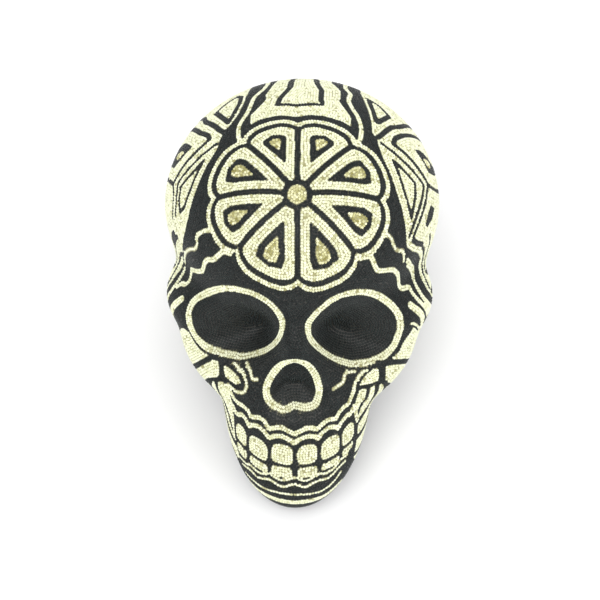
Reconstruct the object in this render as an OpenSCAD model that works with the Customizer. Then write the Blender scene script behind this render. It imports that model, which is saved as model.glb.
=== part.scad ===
// Beaded skull figure: a life-size cast skull with a wax coat and rows of glass seed beads.
// Units are millimetres. The skull rests on the chin and the back of the head, face to -Y.

/* [Stance] */
// Backward lean of the skull on its base, in degrees
lean = 28; // [0:1:40]
// Place of the shaping centre above the base
centre_rest = [0, -11.5, 63.4]; // [-100:0.1:100]
// Shaping centre, forward and up in the skull's own level frame
centre_at = [20, 0]; // [-50:1:50]

/* [Head form] */
// Braincase centre, forward and up
vault_at = [-4, 50]; // [-100:1:100]
// Braincase half sizes, forward, sideways and up
vault_half = [88, 78, 68]; // [30:1:100]
// Forehead centre, forward and up
forehead_at = [24, 50]; // [-100:1:100]
// Forehead half sizes, forward, sideways and up
forehead_half = [66, 62, 60]; // [30:1:100]
// Back of head centre, forward and up
occiput_at = [-34, 12]; // [-100:1:100]
// Back of head half sizes, forward, sideways and up
occiput_half = [57, 57, 48]; // [30:1:100]
// Brow bar centre, forward and up
brow_at = [26, 10]; // [-100:1:100]
// Brow bar half sizes, forward, sideways and up
brow_half = [61, 75, 35]; // [30:1:100]
// Cheekbone centre, forward and up
cheek_at = [32, -7]; // [-100:1:100]
// Cheekbone half sizes, forward, sideways and up
cheek_half = [57, 67, 37]; // [30:1:100]
// Pitch of the cheekbones, in degrees
cheek_pitch = -32; // [-90:0.1:90]
// Dental arch centre, forward and up
arch_at = [46, -32]; // [-100:1:100]
// Dental arch half sizes, forward, sideways and up
arch_half = [51, 37, 50]; // [30:1:100]
// Chin centre, forward and up
chin_at = [51, -38]; // [-100:1:100]
// Chin half sizes, along its own axis, sideways and across
chin_half = [68, 41, 36]; // [30:1:100]
// Pitch of the chin, in degrees
chin_pitch = -61; // [-90:0.1:90]
// Jaw angle centre, forward and up
ramus_at = [12, -14]; // [-100:1:100]
// Jaw angle half sizes, forward, sideways and up
ramus_half = [46, 51, 46]; // [30:1:100]
// Sharpness of the blends between the lobes
blend = 18; // [6:1:40]

/* [Face hollows] */
// Eye socket rim centre, sideways, forward and up
rim_at = [34, 80, 8]; // [-100:1:100]
// Eye socket rim reach, sideways, forward and up
rim_reach = [25, 45, 18]; // [5:0.5:60]
// Step down at the eye socket's rim
rim_depth = 7; // [1:0.5:15]
// Eye socket bowl centre, sideways, forward and up
socket_at = [32, 80, 9]; // [-100:1:100]
// Eye socket bowl reach, sideways, forward and up
socket_reach = [19, 45, 14]; // [5:0.5:60]
// Eye socket bowl depth
socket_depth = 17; // [5:0.5:30]
// Eye socket slope, in degrees
socket_slope = -12; // [-45:1:45]
// Nose bridge centre, sideways, forward and up
bridge_at = [0, 92, 8]; // [-100:1:100]
// Nose bridge reach, sideways, forward and up
bridge_reach = [10, 40, 14]; // [5:0.5:60]
// Nose bridge height
bridge_height = 7; // [0:0.5:12]
// Nose opening centre, sideways, forward and up
nose_at = [0, 92, -14]; // [-100:1:100]
// Nose opening reach, sideways, forward and up
nose_reach = [9.5, 40, 13]; // [5:0.5:60]
// Nose opening depth
nose_depth = 10; // [3:0.5:20]
// Lower nose lobe centre, sideways, forward and up
nostril_at = [7, 92, -25]; // [-100:1:100]
// Lower nose lobe reach, sideways, forward and up
nostril_reach = [8, 40, 8.5]; // [5:0.5:60]
// Lower nose lobe depth
nostril_depth = 8; // [3:0.5:20]
// Temple hollow centre, sideways, forward and up
temple_at = [70, 40, 34]; // [-100:1:100]
// Temple hollow reach, sideways, forward and up
temple_reach = [16, 26, 15]; // [5:0.5:60]
// Temple hollow depth
temple_depth = 4; // [0:0.5:10]

/* [Layers] */
// Depth from the bead tops to the wax
bead_layer = 2.4; // [1.5:0.1:4]
// Thickness of the wax coat
wax_layer = 2; // [1:0.1:4]
// Half sizes of the casting's sealed hollow, sideways, forward and up
hollow_half = [54, 66, 48]; // [20:1:80]
// Forward and upward place of the sealed hollow
hollow_at = [0, 47]; // [-50:1:80]
// Height of a motif's bead tops above the ground
motif_rise = 0.5; // [0.1:0.1:1]
// Depth of a motif's bead rows below the bead tops
motif_depth = 0.8; // [0.4:0.1:2]
// Height of a black line above the cream field that it crosses
line_rise = 0.3; // [0.1:0.1:1]
// Spacing of the bead rows
row_pitch = 1.5; // [1:0.05:3]

/* [Flower] */
// Upward place of the flower's centre, in degrees above level
flower_lift = 59; // [30:1:90]
// Step from that place to the flower's middle, in degrees
flower_at = [0, 0.6]; // [-5:0.1:5]
// Ends of the eight spokes, anticlockwise from the right, in degrees from the middle
spokes = [[24.5, 4], [14.6, 18], [-0.6, 21.6], [-14.9, 17.8],
          [-24.5, 3.4], [-18.6, -13], [0.9, -23.3], [19.2, -13.4]]; // [-35:0.1:35]
// Bulge of each petal past the line between its two spokes
bulges = [1.215, 1.17, 1.17, 1.215, 1.245, 1.28, 1.28, 1.245]; // [1:0.005:1.5]
// Tip of a petal's middle line, as a share of the spokes
petal_tip = 0.335; // [0.2:0.005:0.6]
// End of a petal's middle line, as a share of the spokes
petal_end = 0.875; // [0.6:0.005:1]
// Middle line of the border, as a share of the spokes
border_share = 1.06; // [1:0.005:1.2]
// Tip of each gold inset, as a share of the spokes
inset_tips = [0.62, 0.68, 0.68, 0.62, 0.66, 0.61, 0.61, 0.66]; // [0.4:0.01:1]
// End of each gold inset, as a share of the spokes
inset_ends = [0.98, 0.92, 0.92, 0.98, 1, 1.01, 1.01, 1]; // [0.7:0.01:1.2]
// Half width of a gold inset, as a share of the petal
inset_wide = 0.26; // [0.05:0.01:0.5]
// Radius of the gold centre, in degrees
centre_radius = 2.75; // [1:0.05:6]

/* [Face motifs] */
// Bead rows across an eye ring or the nose ring
ring_rows = 2.9; // [1:0.1:5]
// Bead rows across a gum line
gum_rows = 1.9; // [1:0.1:4]
// Roundness of the upper teeth at their tops and at the bite
upper_round = [2.5, 5]; // [2:0.5:10]
// Roundness of the lower teeth at the bite and at their roots
lower_round = [6, 3]; // [2:0.5:10]
// Bead rows across a chin line
chin_rows = 1.2; // [1:0.1:4]

/* [Crown and back motifs] */
// Bead rows across the crown window's line and the wedges' outlines
window_rows = 2; // [1:0.1:5]
// Bead rows across the wavy crown lines
wave_rows = 1.8; // [1:0.1:5]
// Bead rows across the lines nested inside a side field's hidden edge
nested_rows = 1.6; // [1:0.1:5]
// Bead rows across the line outside a side field and the wavy lines below it
trim_rows = 2; // [1:0.1:5]
// Height of the back medallion, in degrees above level
medallion_up = 12; // [-30:1:60]
// Radii of the back medallion's rings, in degrees
medallion_rings = [6, 14, 22]; // [1:0.5:60]
// Bead rows across a medallion ring
medallion_rows = 3; // [1:0.1:5]

/* [Smoothness] */
// Columns and rows of the bead skin's outer surface
fine_grid = [72, 42]; // [24:2:96]
// Columns and rows of the hidden surfaces
coarse_grid = [30, 20]; // [16:2:48]
// Crowding of the columns towards the face, in degrees
column_crowd = 24; // [0:1:40]
// Crowding of the rows towards the face, in degrees
row_crowd = 14; // [0:1:24]
// Downward shift of the crowded rows, in degrees
row_shift = 10; // [0:1:20]
// Stations around a medallion ring
ring_stations = 28; // [12:4:60]
// Stations around the gold centre
centre_stations = 12; // [8:2:40]
// Stations around a tooth
tooth_stations = 14; // [8:2:40]
// Steps along a petal's end
rim_steps = 6; // [4:2:16]
// Longest leg of a motif's outline, in degrees
longest_leg = 7; // [3:1:20]
// Largest step between the rings of facets of a patch, in degrees
field_span = 8; // [4:1:20]

/* [Hidden] */
PETALS = 8;
SMALL = 0.000001;
FULL = 360;
HALF = 180;
QUARTER = 90;
SIDES = [-1, 1];
CREAM = [0.9, 0.91, 0.76];
BLACK = [0.12, 0.14, 0.14];
GOLD = [0.74, 0.7, 0.42];
AMBER = [0.66, 0.5, 0.22];
CAST = [0.86, 0.83, 0.76];
PETAL_ROWS = 3;
BORDER_ROWS = 2;
// Sharpness of a petal's round end
LOBE_POWER = 2.6;
// Shares of the way along a petal's straight sides
PETAL_SIDES = [0.5, 0.7];

// Shoulders of a gold inset, from its tip to its end
INSET_SHOULDERS = [0.65, 0.9];

// Hidden edge of a side field, from the temple round to the crown, in crown degrees
SIDE_REAR =
    [[78, -5], [84, 0], [87, 11], [88, 22], [84.5, 35], [76, 47], [66, 57], [54, 65], [42, 70.5],
     [30, 74], [18, 75]];

// Middle of a side field, in crown degrees
SIDE_MIDDLE = [68, 30];

// Line outside that edge, from the temple round to the back, in crown degrees
SIDE_TRIM =
    [[80, -10], [86.4, -5], [91, 6], [92.8, 20], [89.4, 37], [80, 50.4], [69.6, 61], [57, 69.6],
     [44, 75.4], [31, 79], [18, 80], [0, 80.6]];

// Front ends of that line on the temples, left and right, in crown degrees
TRIM_FRONTS = [
    [[63.6, 0.4], [66, -2.6], [68, -6.4], [72, -9.8]],
    [[47, -4.4], [53.4, -2.2], [59.8, 0.8], [62.8, 0.2], [63.8, -3], [65.6, -7], [68.5, -11],
     [74, -12]]];

// Lines inside that edge, in crown degrees
SIDE_NESTED = [
    [[81, 5], [82.8, 13], [83, 22], [79.8, 33], [72, 44], [62.5, 53.5], [51.5, 61], [40.5, 66],
     [29.5, 69], [17.5, 70]],
    [[77.6, 14], [78.4, 22], [75, 31.5], [68, 41], [59, 50], [49, 57], [39, 61.5], [29, 64],
     [17.5, 65]]];

// Front ends of those lines on the temples, left and right, in crown degrees
NESTED_FRONTS = [
    [[[57.6, 3.4], [62, 6.8], [66, 8.2], [70, 8.2], [73.4, 5], [75.4, 0.6], [78.2, -0.6]],
    [[52, 6.2], [57, 9.4], [62, 12.6], [67, 14.6], [72, 13.4], [75.4, 11]]],
    [[[56.5, 8], [62, 11.4], [67, 11.6], [71.4, 8.6], [73.6, 3.2], [75.6, -0.4], [78.4, -0.6]],
    [[57.5, 14.6], [62, 16.6], [67, 17], [72, 14.6], [75.4, 11]]]];

// Front outlines of the side fields, left and right, in crown degrees
SIDE_FRONTS = [
    [[16.8, 62], [17, 50], [17.2, 42], [18.4, 34], [20.6, 29.5], [22.3, 28], [23.8, 24.5], [24.5, 21],
     [33, 11], [39, 4.5], [43, 2], [48, 1.2], [54, 2], [60, 4.6], [65.5, 3.6], [69.6, 1.4], [73, -3]],
    [[17.2, 62], [17.4, 50], [18.2, 44], [19.4, 38], [20.4, 32], [20.7, 26.8], [22.3, 26], [22.6, 23.5],
     [24.3, 19.5], [31, 10], [38, 2], [41, -1.5], [42.7, -2.2], [47.6, -0.7], [56.2, 4.9], [62.5, 8.2],
     [68.1, 5.7], [70.2, 0.8], [72.4, -4]]];

// Wavy lines round the back, below the side fields, in face degrees
WAVY_LINES = [
    [[72, -9], [80, -13], [88, -10], [96, -15], [104, -12], [112, -17], [120, -13], [128, -18],
     [136, -15], [144, -20], [152, -16], [160, -21], [170, -18], [180, -21]],
    [[84, -21], [88, -19], [96, -24], [104, -21], [112, -26], [120, -22], [128, -27], [136, -24],
     [144, -29], [152, -25], [160, -30], [170, -27], [180, -30]]];

// Black lines on the side fields, left and right: rows and path, in crown degrees
SIDE_LINES = [
    [[2, [[21.4, 31], [20, 36], [18.8, 41], [18.9, 46], [20.6, 48.6], [24.4, 45.6], [27.3, 42.3],
     [24.4, 36.6], [21.4, 31]]],
    [2, [[22.6, 27], [24.3, 29.3], [26.2, 32.8], [29, 37.2], [31.2, 41], [32.4, 45.6], [36, 52],
     [39.6, 58], [41, 61]]],
    [2, [[46.5, 58.4], [41, 52], [37.5, 45.4], [35, 40], [32.1, 34.6], [28.6, 30], [27.8, 27.4],
     [33.2, 26], [38.5, 25.1], [46, 23.4]]],
    [1.6, [[46.2, 23.4], [49.3, 28.2], [51.8, 32.9], [54, 37], [58, 47], [60, 49.6]]],
    [1.6, [[46.2, 23.4], [46.4, 19], [48, 15.4], [50.5, 12.6]]],
    [1.6, [[25, 23.4], [29.6, 22.5], [35, 21.4], [42.6, 20.4], [45, 15], [47.5, 10.8]]],
    [1.6, [[29.6, 19.6], [34.3, 18.1], [41, 17.6], [42.8, 14], [43.6, 9.4], [40.5, 9], [36.4, 12.2],
     [29.6, 19.6]]],
    [3, [[54.6, 9.6], [59.6, 13.2], [65.6, 16.6]]]],
    [[2, [[22.2, 33.4], [21.3, 38], [20.4, 43], [19.7, 47.8], [23, 46.3], [26.7, 42], [24.6, 37.6],
     [22.2, 33.4]]],
    [2, [[22.6, 26.4], [24.3, 29.4], [25.8, 32.6], [27.6, 36], [29.8, 38.4], [32.2, 42.6], [36, 50],
     [40, 57], [41, 61]]],
    [2, [[48, 57.4], [44, 51.6], [38.4, 44.2], [35, 39.8], [31.4, 35], [28.6, 30.6], [27.9, 27.3],
     [33.2, 27], [38.5, 26.2], [45.2, 25]]],
    [1.6, [[45.2, 24.6], [49.3, 27.7], [52.2, 30.6], [54.8, 34.2], [56.6, 38], [60, 50]]],
    [1.6, [[45.2, 24.6], [45.5, 18], [45, 11], [44, 2.2]]],
    [1.6, [[23.6, 24.6], [29.6, 23.5], [35, 22.8], [42.8, 22], [43, 16], [42.4, 11], [41.4, 1]]],
    [1.6, [[28.3, 20.3], [38.4, 18.6], [39.3, 14], [39.5, 6.6], [34, 12.4], [28.3, 20.3]]],
    [2, [[44.4, 1.6], [49, 3.5], [54.6, 7.6]]]]];

// Outlined wedges on the side fields, left and right, in crown degrees
SIDE_BARS = [
    [[35.2, 30.3], [40, 38.6], [44.3, 43], [48, 48], [51, 46], [50.4, 39], [45.7, 30.8], [40.5, 30]],
    [[36.8, 33.2], [39.6, 36.8], [43.6, 38.7], [47.5, 40], [50.5, 45], [54, 50], [55, 47], [51.8, 41],
     [50, 36.5], [47.1, 32.9], [45, 30.6], [41.4, 32.2]]];

// Outline of the crown panel, in crown degrees
CROWN_PANEL =
    [[14.2, 26.1], [12, 27.6], [6, 28.6], [2, 28.3], [-1.2, 27.2], [-6, 28.4], [-12, 27.6],
     [-14.2, 26.1], [-14.5, 31], [-12.2, 34.5], [-10.6, 38], [-10.8, 42], [-9.8, 47], [-8.8, 54],
     [-8.4, 60], [-7, 64.5], [-4, 67.6], [0, 68.6], [4, 67.6], [7, 64.5], [8.4, 60], [8.2, 54],
     [9.6, 50], [11, 46], [10.8, 41], [10.6, 38], [12.2, 34.5], [14, 31]];

// Black line on the crown panel, in crown degrees
CROWN_WINDOW =
    [[3.5, 57], [3.7, 51.5], [4.4, 47.5], [5.3, 44], [5.2, 39], [5.6, 34.4], [2, 33.9], [-1.6, 33],
     [-4, 33.8], [-6.9, 34], [-6.4, 38], [-4.8, 42.5], [-3.9, 46], [-4, 51], [-3.7, 57], [-2.8, 60.6],
     [0, 62.2], [2.8, 60.6]];

// Wavy lines beside the crown panel, left and right, in crown degrees
CROWN_WAVES = [
    [[0, 75], [6, 73.6], [10.2, 69.6], [11.8, 64], [11.6, 58], [11.4, 53], [11.8, 48.5], [13, 45],
     [14.3, 42], [14.9, 38], [15.4, 34], [16.6, 30.5], [17.7, 27.5], [17.8, 24], [17.2, 20.8]],
    [[0, 75], [6, 73.6], [10.4, 69.6], [12.4, 64], [12.6, 58], [12.4, 53], [12.8, 49.5], [13.9, 46],
     [13.4, 42], [13.5, 39], [14.7, 35.5], [16.2, 32], [17.1, 28], [17.2, 24], [16.6, 20.8]]];

// Temple stripes, left and right: rows and path, in face degrees
TEMPLES = [
    [[3, [[62.6, 13.4], [65.4, 10], [69, 5.6], [73, 0.4]]]],
    [[2, [[66.4, 20], [66, 17], [67, 13.4], [69.5, 9.4], [74, 3]]],
    [3, [[60.3, 14.3], [63, 10.9], [66.7, 6.3], [70, 0], [73, -3]]],
    [2, [[63, 31], [69.4, 27.8], [74, 24], [73.4, 20.6], [71.6, 16.4], [71.2, 12.4], [73.6, 7],
     [78, 2.6]]],
    [1, [[58.4, 6.2], [60.2, 5.6], [64, 2.6], [69, -1.6], [74, -6]]]]];

// Stepped brow lines, left and right: rows and path, in face degrees
BROWS = [
    [[2, [[30.5, 40.6], [34, 40.6], [37.6, 38.5], [40, 37], [44, 36], [46.5, 34.3], [48.5, 31.8],
     [51, 30.3], [56, 28.8], [61, 27.6], [64.6, 26.4], [66, 23.6], [65.6, 20.6], [67.2, 18.4],
     [69.8, 17.6], [71.4, 15]]],
    [1.7, [[43.6, 45], [47, 44.3], [50, 43], [52.6, 41.3], [52, 39], [54, 37], [58, 35.8], [63, 33.8],
     [68.6, 31], [73, 28.4], [75.6, 25.4]]]],
    [[2, [[29.5, 40.4], [34, 40.2], [35.6, 39], [37, 36.8], [39, 35], [43, 34.2], [48, 33.3],
     [52, 31.5], [55, 29.3], [57, 26.5], [59, 23.2], [61.5, 21.8], [65, 21], [67, 20]]],
    [1.7, [[43, 45], [45.6, 44.6], [47.6, 43.3], [48.7, 41], [50.5, 39.2], [53.6, 38.2], [55.6, 37.4],
     [56.6, 35.6], [57.4, 33.8]]]]];

// Middle lines of the eye rings, left and right, in face degrees
EYES = [
    [[6.4, 18.8], [8.3, 23], [12.3, 26.8], [18, 29], [24, 29.5], [31, 29], [38.5, 27], [45, 24.2],
     [50.5, 20.8], [54, 17], [55.4, 12], [55.6, 6], [55.8, 1], [54.8, -2.8], [50, -6], [42.5, -7.5],
     [35, -8], [29, -7.5], [22, -4.7], [16.5, -1.2], [12.2, 3.5], [9, 8.5], [7, 13.2]],
    [[6.2, 17.3], [8.3, 21], [11.8, 24.6], [16, 27.7], [21, 29.2], [27.5, 29.4], [34.5, 28], [41, 25.5],
     [46, 22.4], [49.5, 18.8], [52, 13.5], [53.2, 8], [53.8, 2], [53.3, -3], [50, -6.2], [44.5, -8.3],
     [36.5, -9.3], [29.5, -8.8], [22.5, -6.2], [17, -2.4], [12.5, 2.2], [9.2, 7.1], [6.8, 12]]];

// Middle line of the nose ring, in face degrees
NOSE =
    [[0, 1], [3.5, -0.8], [6.5, -3.5], [9, -6.7], [10.4, -10.3], [10.6, -14], [10.2, -17.8],
     [8.8, -20.4], [5, -21.3], [0, -20.6], [-4.5, -21.8], [-8.7, -21], [-11.2, -18.5], [-12.3, -15],
     [-12.2, -11.5], [-10.6, -8], [-8, -4.6], [-4, -1.3]];

// Outlines of the cheekbone patches, left and right, in face degrees
CHEEK_FIELDS = [
    [[[47, -9.6], [51, -5.4], [56, -2.2], [61, -0.6], [66, -3], [72, -8], [78, -16], [70, -24],
     [62, -21], [56, -16.6], [51, -13]],
    [[39.4, -12.4], [41, -10.3], [44.6, -10.4], [47.4, -13], [52, -16.6], [58, -21.4], [62, -26],
     [54, -26], [47, -20.6], [41, -18.4], [38.8, -16]],
    [[26.2, -16.2], [28, -14.2], [31.4, -12.6], [35, -11.6], [38, -11.2], [37.5, -13], [35.5, -15.6],
     [33, -16.8], [29, -17.8]]],
    [[[51, -8.9], [55.5, -7.6], [57.8, -3.6], [60, 1], [60.4, 4], [65, 0.2], [70, -3.8], [78, -9],
     [74, -20], [68, -19], [60, -13], [54, -11], [51, -10]],
    [[46.3, -10.9], [50, -11.2], [56, -13.4], [62, -16.8], [70, -21], [66, -30], [56, -27], [49, -24],
     [46.4, -18]],
    [[31.6, -17.4], [33.2, -15], [36, -13], [39.4, -11.9], [42.4, -11.7], [42.6, -14], [42, -18.3],
     [38, -18.5]]]];

// Curls beside the cheekbones, left and right: rows and path, in face degrees
CHEEK_CURLS = [
    [[1.6, [[17.6, -11.4], [20.2, -12.1], [22, -10.5], [24.4, -9.3], [27, -8.6]]],
    [1.6, [[33, -9.8], [29.4, -10.9], [25.4, -12.6], [23, -15.6], [24.2, -19], [28, -20.8],
     [31.4, -20.2], [34, -19.2]]]],
    [[1.6, [[34, -9.9], [30, -11], [25.4, -10.9], [23.9, -12], [23, -13.4], [20.5, -13.9],
     [17.6, -14.2]]],
    [1.6, [[38, -10.9], [35, -11.7], [31.6, -13.5], [29.4, -15.9], [28.6, -18.2]]]]];

// Outlines of the cream jaw fields, left and right, in face degrees
JAW_FIELDS = [
    [[33, -24], [35, -20.4], [39, -19], [45, -19], [52, -22], [58, -26], [62, -31], [61, -38],
     [56, -45], [48, -51], [40, -53.5], [32, -50], [27, -45], [30, -39], [31, -33]],
    [[29.6, -25], [31.4, -19.6], [37, -19.2], [45, -18.8], [52, -22], [58, -26], [62, -31], [61, -38],
     [56, -45], [48, -51], [40, -53.5], [34, -51], [30, -46], [31.6, -38.4], [32.4, -33]]];

// Black lines on the jaw fields, left and right: rows and path, in face degrees
JAW_LINES = [
    [[2, [[39, -9.6], [37.6, -14], [35.4, -18]]],
    [2, [[45, -10], [50, -13.6], [55, -17.6], [62, -23]]],
    [1.6, [[35.4, -18], [40, -18.6], [46.6, -21.8], [53, -27], [60, -29]]],
    [1.6, [[40.6, -18.8], [42, -25.7], [41, -31.6], [37, -35], [32.6, -38]]],
    [2, [[45.6, -21.2], [47.8, -27], [46, -34.4], [41, -38.8], [35, -41], [30, -41.6]]],
    [2, [[52.4, -26.6], [54, -32], [51.6, -38.6], [46, -44], [39, -47], [30.4, -47]]]],
    [[2, [[43.4, -9.6], [43.9, -16], [43.6, -19]]],
    [2, [[44, -10.2], [52, -11.6], [58, -13.8], [64, -16.6], [72, -20]]],
    [1.6, [[30.6, -18.2], [38, -18.9], [44, -18.8], [49, -22.6], [56, -27.6], [63, -31]]],
    [1.6, [[36.8, -18.8], [36.6, -25.5], [34, -28], [32, -30.8]]],
    [2, [[41.6, -18.8], [43, -27], [41, -33], [36, -34], [31.6, -34.4]]],
    [2, [[47.6, -21], [50.4, -28], [49.6, -35.4], [44.4, -40.4], [36, -40.4], [29.8, -39]]],
    [2, [[56, -27.6], [57.4, -35], [53, -43], [45, -47], [36, -47], [30, -45]]]]];

// Gum lines, upper and lower, in face degrees
GUMS = [
    [[-37, -20], [-33, -22], [-30.4, -25], [-27.5, -25.6], [-24.5, -25.1], [-21.3, -25.4], [-19.8, -27],
     [-18, -26.3], [-15, -25], [-12.6, -25.4], [-10.6, -27.6], [-8, -26.4], [-5, -25.6], [-2.4, -26.4],
     [0.2, -27.4], [2.4, -26.6], [5, -25.7], [7.6, -26], [9.8, -27], [12, -25.6], [14.6, -25],
     [17, -25.7], [18.6, -26.3], [20, -24.5], [23, -23.5], [25.6, -23.6], [26.8, -21.6], [28.4, -19]],
    [[-31.6, -28.6], [-30, -30.6], [-27.6, -30.4], [-25, -28.9], [-22.6, -29.3], [-20.8, -31],
     [-18.6, -29.6], [-15.4, -28.6], [-12.6, -29.4], [-10.4, -31], [-8, -29.6], [-5, -28.8],
     [-2.4, -29.6], [0.2, -31], [2.4, -29.6], [5.6, -28.7], [8.6, -29.4], [10.4, -30.6], [12, -28.9],
     [14.6, -28.1], [17.4, -28.8], [19.8, -30.4], [21.6, -28.9], [24.4, -27.8], [27, -28.4], [28.6, -26],
     [30.4, -30], [31.4, -33.6]]];

// Upper teeth: left, right, top and bottom, in face degrees
UPPER_TEETH = [
    [1.5, 9.9, -31.9, -38],
    [11.5, 20.4, -31.8, -38.3],
    [21.8, 29, -31.7, -37.7],
    [-9.3, -0.2, -31.9, -38.2],
    [-20.4, -11, -32.9, -38.9],
    [-28.9, -21.9, -33.2, -38.6]];

// Lower teeth: left, right, top and bottom, in face degrees
LOWER_TEETH = [
    [1.6, 9.9, -39, -41.8],
    [11.5, 20.2, -39.3, -41.4],
    [21.8, 28.6, -38.8, -40.8],
    [-9.3, -0.5, -39.1, -41.9],
    [-20, -11, -39.8, -42.3],
    [-28, -21.6, -39.7, -42.8]];

// Lines across the chin, in face degrees
CHIN_LINES = [
    [[-26, -44.4], [-22.6, -44], [-19.6, -43], [-17, -43.4], [-13, -43.1], [-10, -41.9], [-5, -42.9],
     [0.4, -41.7], [5, -42.8], [10.4, -41.8], [14, -42.5], [18, -42.2], [21, -41.2], [25, -41.4]],
    [[-25, -46], [-20, -44.9], [-16, -45.3], [-10.4, -43.9], [-5, -44.8], [0.4, -43.6], [5, -44.7],
     [10.4, -43.7], [15, -44.5], [20, -43.4], [24, -43]],
    [[-24, -48.6], [-20, -48.4], [-14, -48], [-8, -47.3], [0, -47], [6, -47.4], [12, -48], [17, -47.6],
     [22, -45.6]]];

// Wide band below the chin lines, in face degrees
CHIN_BAND = [[-25, -53], [-18, -52], [-10, -50.8], [0, -50.4], [8, -50.8], [15, -51.7], [23, -51.4]];

// Each lobe: centre, half sizes, pitch
LOBES = [[vault_at, vault_half, 0], [forehead_at, forehead_half, 0],
         [occiput_at, occiput_half, 0], [brow_at, brow_half, 0],
         [cheek_at, cheek_half, cheek_pitch], [arch_at, arch_half, 0],
         [chin_at, chin_half, chin_pitch], [ramus_at, ramus_half, 0]];

// Each hollow or rise: centre, reach, slope, sharpness, height
SOFT = 1;
FIRM = 1.5;
HARD = 3;
BOWL = 1.1;
FEATURES = concat(
    [for (s = SIDES) [sided(rim_at, s), rim_reach, s * socket_slope, HARD, -rim_depth]],
    [for (s = SIDES) [sided(socket_at, s), socket_reach, s * socket_slope, BOWL, -socket_depth]],
    [[bridge_at, bridge_reach, 0, SOFT, bridge_height]],
    [[nose_at, nose_reach, 0, FIRM, -nose_depth]],
    [for (s = SIDES) [sided(nostril_at, s), nostril_reach, 0, FIRM, -nostril_depth]],
    [for (s = SIDES) [sided(temple_at, s), temple_reach, 0, SOFT, -temple_depth]]);

// ---- Surface of the skull ----

function unit(v) = v / norm(v);
function total(list) = list * [for (x = list) 1];
function sided(p, side) = [side * p[0], p[1], p[2]];

// Distance from the shaping centre to a lobe's surface, along direction d
function lobe_exit(d, lobe) =
    let (off = centre_at - lobe[0], half = lobe[1], c = cos(lobe[2]), s = sin(lobe[2]))
    let (from = [0, (off[0] * c + off[1] * s) / half[0], (off[1] * c - off[0] * s) / half[2]])
    let (along = [d[0] / half[1], (d[1] * c + d[2] * s) / half[0],
                  (d[2] * c - d[1] * s) / half[2]])
    let (aa = along * along, ab = from * along, bb = from * from - 1)
    (sqrt(ab * ab - aa * bb) - ab) / aa;

function feature_rise(p, f) =
    let (q = p - f[0], c = cos(f[2]), s = sin(f[2]))
    let (u = [(q[0] * c + q[2] * s) / f[1][0], q[1] / f[1][1], (q[2] * c - q[0] * s) / f[1][2]])
    f[4] * exp(-pow(u * u, f[3]));

// Distance from the shaping centre to the bead tops, along direction d
function reach(d) =
    let (exits = [for (lobe = LOBES) lobe_exit(d, lobe)], most = max(exits))
    let (r = most * pow(total([for (x = exits) pow(x / most, blend)]), 1 / blend))
    let (p = [0, centre_at[0], centre_at[1]] + d * r)
    r + total([for (f = FEATURES) feature_rise(p, f)]);

// Point on the surface in direction d, raised by lift and kept above the base
function place(d, lift) =
    let (free = reach(d) + lift, down = -d[1] * sin(lean) - d[2] * cos(lean))
    let (base = (centre_rest[2] + min(lift, 0)) / max(down, SMALL))
    let (r = down > SMALL ? min(free, base) : free)
    centre_rest + r * [d[0], d[2] * sin(lean) - d[1] * cos(lean),
                       d[1] * sin(lean) + d[2] * cos(lean)];

// Direction from the shaping centre to a point
function toward(p) =
    let (v = unit(p - centre_rest))
    [v[0], v[2] * sin(lean) - v[1] * cos(lean), v[1] * sin(lean) + v[2] * cos(lean)];

// Face chart: degrees sideways and up from the shaping centre
function face_dir(p) = [sin(p[0]) * cos(p[1]), cos(p[0]) * cos(p[1]), sin(p[1])];

// Crown chart: degrees sideways and up from the flower's centre
function crown_dir(p) =
    let (r = norm(p), s = r < SMALL ? 0 : sin(r) / r)
    [s * p[0], cos(r) * cos(flower_lift) - s * p[1] * sin(flower_lift),
     cos(r) * sin(flower_lift) + s * p[1] * cos(flower_lift)];

// Back chart: degrees sideways and up from the medallion's centre
function back_dir(p) =
    let (d = [p[0] * PI / HALF, -cos(medallion_up), sin(medallion_up)])
    unit(d + p[1] * PI / HALF * [0, sin(medallion_up), cos(medallion_up)]);

function mirrored(path, side) = [for (p = path) [side * p[0], p[1]]];
function on_face(path) = [for (p = path) face_dir(p)];
function on_crown(path) = [for (p = path) crown_dir(p)];

// ---- Solids on the surface ----

// A closed surface at one depth, on columns and rows crowded towards the face
module globe(lift, grid) {
    cols = grid[0];
    rows = grid[1];
    heights = [for (r = [1:rows - 1]) let (s = r / rows)
               QUARTER - HALF * s - row_crowd * sin(FULL * s) - row_shift * sin(HALF * s)];
    turns = [for (c = [0:cols - 1]) let (u = FULL * c / cols) u - column_crowd * sin(u)];
    points = concat([for (h = heights, t = turns) place(face_dir([t, h]), lift)],
                    [place([0, 0, 1], lift), place([0, 0, -1], lift)]);
    top = len(points) - 2;
    last = (rows - 2) * cols;
    walls = [for (r = [0:rows - 3], c = [0:cols - 1])
             let (a = r * cols + c, b = r * cols + (c + 1) % cols)
             each [[a, b, b + cols], [a, b + cols, a + cols]]];
    caps = [for (c = [0:cols - 1]) let (d = (c + 1) % cols)
            each [[top, d, c], [last + c, last + d, top + 1]]];
    polyhedron(points = points, faces = concat(walls, caps), convexity = 6);
}

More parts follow.
